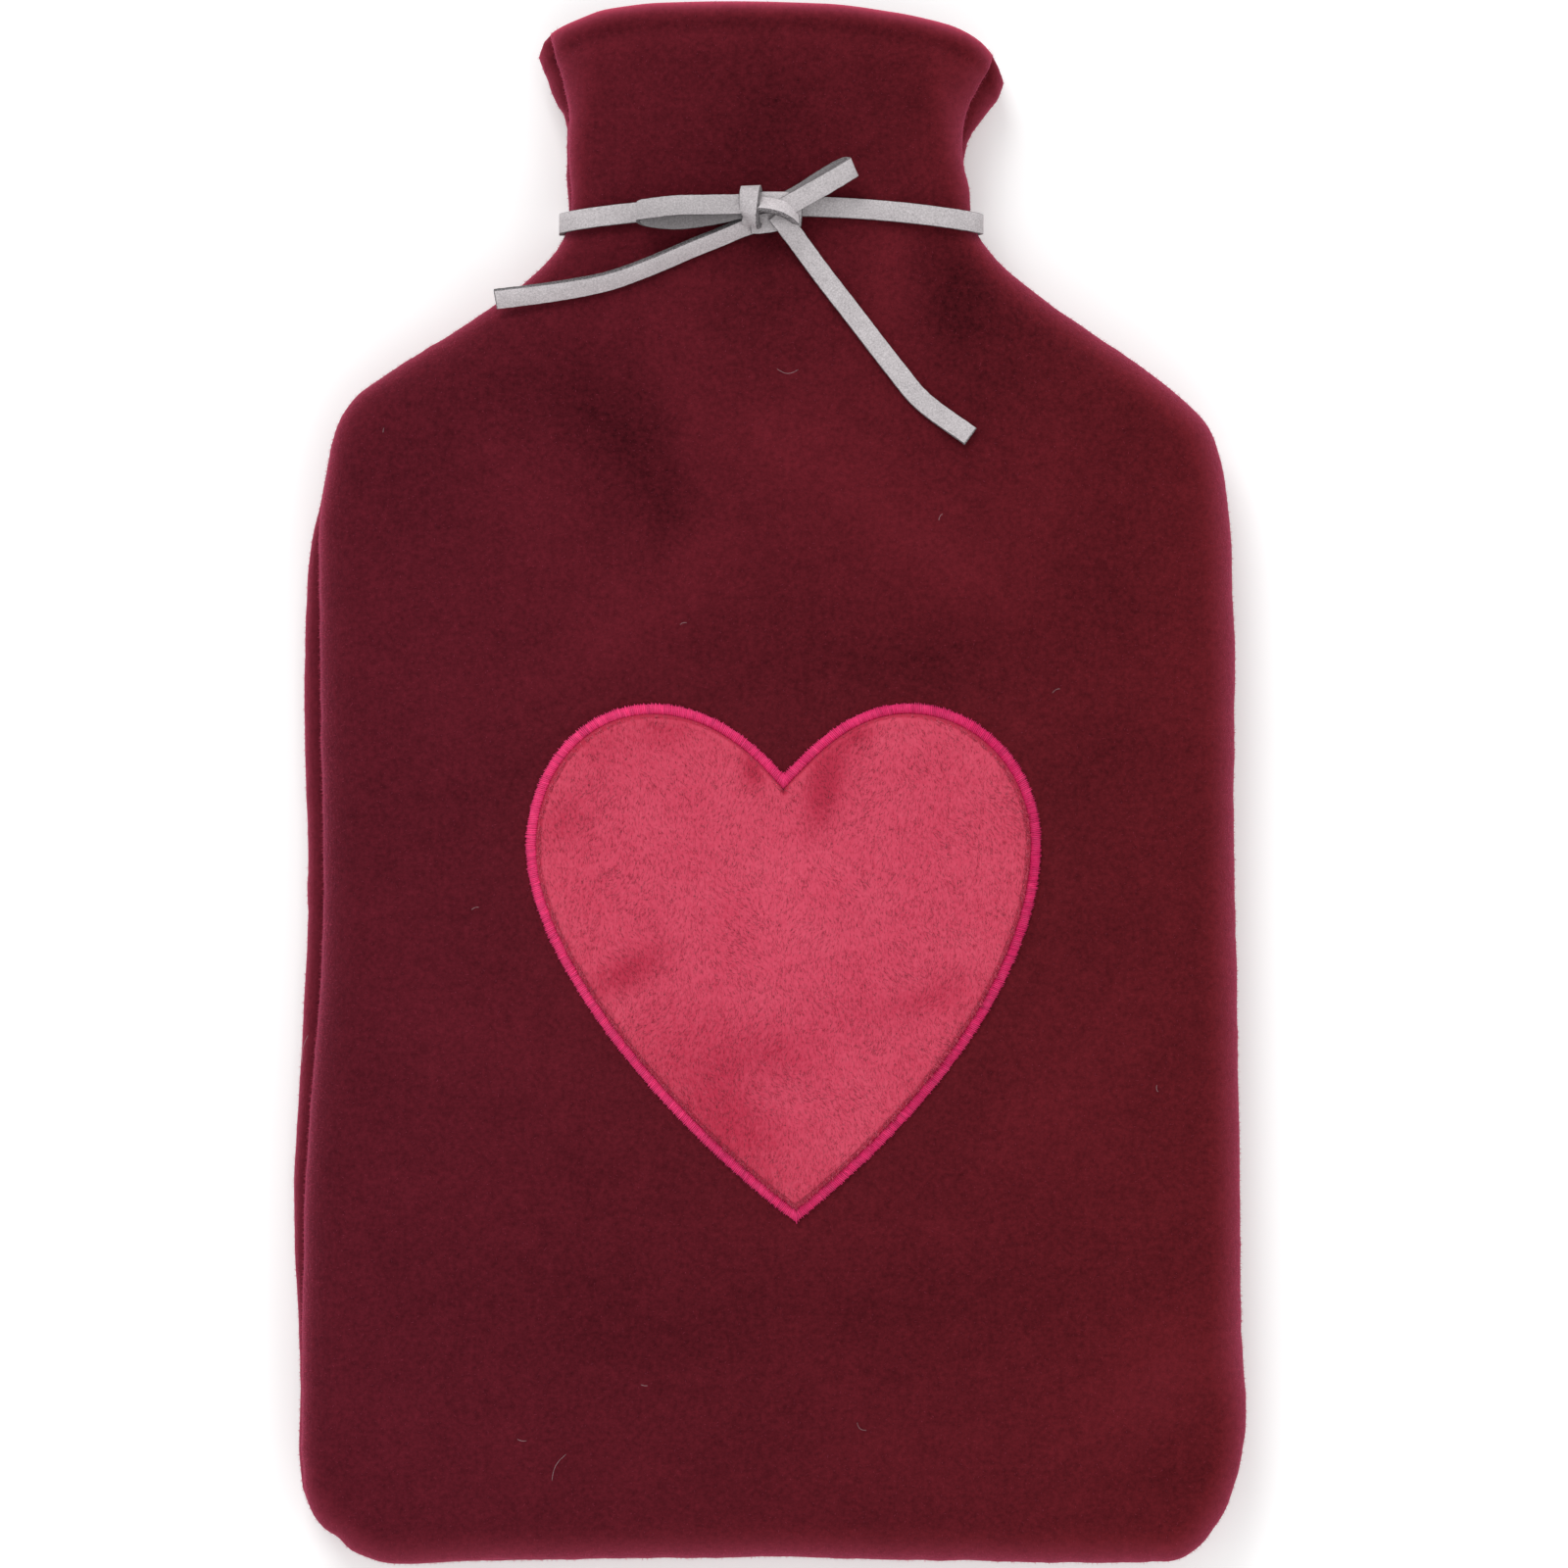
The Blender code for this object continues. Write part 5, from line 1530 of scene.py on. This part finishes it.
def fleece_nap(name, outer, covered, finish):
    """Loose fibres on a panel's outer faces, closer together on its rolled edges."""
    low, high = loop_box(covered)
    places = []
    tones = []
    for centre, normal, area, corners in outer:
        if normal.z < -NAP_FACING and centre.z < NAP_FLOOR:
            continue
        boxed = low.x < centre.x < high.x and low.y < centre.y < high.y
        if normal.z > NAP_FACING and boxed and inside_loop(centre, covered):
            continue
        share = smooth_step((NAP_LEVEL - abs(normal.z)) / NAP_TURN)
        wanted = area * (NAP_PER_MM2 + (NAP_EDGE_PER_MM2 - NAP_PER_MM2) * share)
        for _ in range(int(wanted + draw.random())):
            u = draw.random()
            v = draw.random()
            base = corners[0].lerp(corners[1], u).lerp(corners[3].lerp(corners[2], u), v)
            astray = Vector((draw.gauss(0, 1), draw.gauss(0, 1), draw.gauss(0, 1)))
            way = (normal * draw.uniform(*NAP_STAND) + astray * NAP_STRAY).normalized()
            if base.z < NAP_LOW:
                way.z = abs(way.z)
            length = NAP_LENGTH * draw.uniform(*NAP_LENGTHS)
            places.append(spike_place(base - normal * NAP_ROOT, way, length, NAP_WIDTH))
            # painted highlight on the fibres of the rolled edges
            tones.append(share * NAP_HIGHLIGHT)
    return copied(name, spike_pattern(), places, finish, tones)


def lint_hairs(finish):
    """A few pale hairs lying on the fleece."""
    hairs = table(LINT_COLUMNS, LINT_ROWS)
    places = [hair_place(hair, heading(math.radians(hair["heading"]))) for hair in hairs]
    return copied("lint", rod_pattern(3, 8), places, finish)


def hair_place(hair, way):
    side = Vector((-way.y, way.x))

    def place(point):
        along = (point.y - 0.5) * hair["length"]
        bow = hair["curl"] * math.cos(math.pi * (point.y - 0.5)) + point.x * LINT_WIDTH
        spot = Vector((hair["x"], hair["y"])) + way * along + side * bow
        level = front_height(spot.x, spot.y) + LINT_LEVEL + point.z * LINT_WIDTH
        return Vector((spot.x, spot.y, level))

    return place


# ---- camera, light and floor -------------------------------------------------------------
def place_camera():
    camera = bpy.data.cameras.new("camera")
    camera.sensor_width = SENSOR
    camera.lens = SENSOR * (CAMERA_HEIGHT - EDGE_LEVEL) / PHOTO_SPAN
    item = bpy.data.objects.new("camera", camera)
    item.location = (*VIEW_CENTRE, CAMERA_HEIGHT)
    bpy.context.scene.collection.objects.link(item)
    bpy.context.scene.camera = item


def soft_light(name, location, size, power):
    light = bpy.data.lights.new(name, "AREA")
    light.size = size
    light.energy = power
    item = bpy.data.objects.new(name, light)
    item.location = location
    item.rotation_euler = (-Vector(location)).to_track_quat("-Z", "Y").to_euler()
    bpy.context.scene.collection.objects.link(item)


def light_studio():
    world = bpy.data.worlds.new("studio")
    world.use_nodes = True
    background = world.node_tree.nodes["Background"]
    background.inputs["Color"].default_value = (1.0, 1.0, 1.0, 1.0)
    background.inputs["Strength"].default_value = STUDIO_STRENGTH
    bpy.context.scene.world = world
    for light in LIGHTS:
        soft_light(*light)
    bpy.context.scene.view_settings.view_transform = "Standard"


def lay_floor():
    deselect()
    bpy.ops.mesh.primitive_plane_add(size=FLOOR_SIZE, location=(0, 0, -FLOOR_DROP))
    floor = bpy.context.object
    floor.name = "floor"
    bpy.ops.object.transform_apply(location=True, rotation=True, scale=True)
    floor.data.materials.append(floor_finish())


# ---- the whole cover ---------------------------------------------------------------------
def dress(item, slot, *nodes):
    """A finished piece rides on the cover and stands for its solids, which it hides; its slot is not
    used.
    """
    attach(item, "root")
    if nodes:
        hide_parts(*nodes)


def length_of(path):
    return sum((b - a).length for a, b in zip(path, path[1:]))


def tie_lace():
    suede = suede_finish()
    for node, rows in ROUTES.items():
        piece, path = lace_piece("lace_" + node, rows, suede, FACE_PAINTED_LIGHT[node])
        dress(piece, "lace", node)
        length_of(path)
    dress(band_piece(suede), "lace", "tie_band")
    dress(knot_core(suede), "lace", "tie_knot")
    for name, rows in KNOT_STRAPS.items():
        dress(lace_piece("knot_" + name, rows, suede, FACE_PAINTED_LIGHT[name])[0], "lace")


def sew_pouch(outline):
    fleece = fleece_finish("brushed_fleece", FLEECE_LEFT, FLEECE_RIGHT, FLEECE_HIGHLIGHT_HUE)
    lit_nap = fleece_finish("lit_nap", NAP_LIT_LEFT, NAP_LIT_RIGHT, NAP_LIT_LEFT)
    front_panel = Panel(True, FRONT_CURVE, FRONT_LINE_STEP)
    front, front_faces = panel_piece("front_fleece", front_panel, fleece)
    dress(front, "fleece", "front_panel")
    back_panel = Panel(False, BACK_CURVE, BACK_LINE_STEP)
    back, back_faces = panel_piece("back_fleece", back_panel, fleece)
    dress(back, "fleece", "back_panel")
    bare = outline[::NAP_STRIDE]
    dress(fleece_nap("front_nap", front_faces, bare, lit_nap), "fleece")
    dress(fleece_nap("back_nap", back_faces, bare, lit_nap), "fleece")


def sew_heart(outline):
    plush = plush_finish()
    heart = heart_piece(outline, plush)
    dress(heart, "plush", "heart")
    dress(heart_pile(outline, plush), "plush")
    thread = thread_finish()
    dress(border_base(outline, thread), "thread", "heart_edging")
    dress(border_stitches(outline, thread), "thread")


def make_cover():
    place_camera()
    tie_lace()
    outline = heart_outline()
    sew_pouch(outline)
    sew_heart(outline)
    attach(lint_hairs(lint_finish()), "root")


make_cover()
lay_floor()
light_studio()
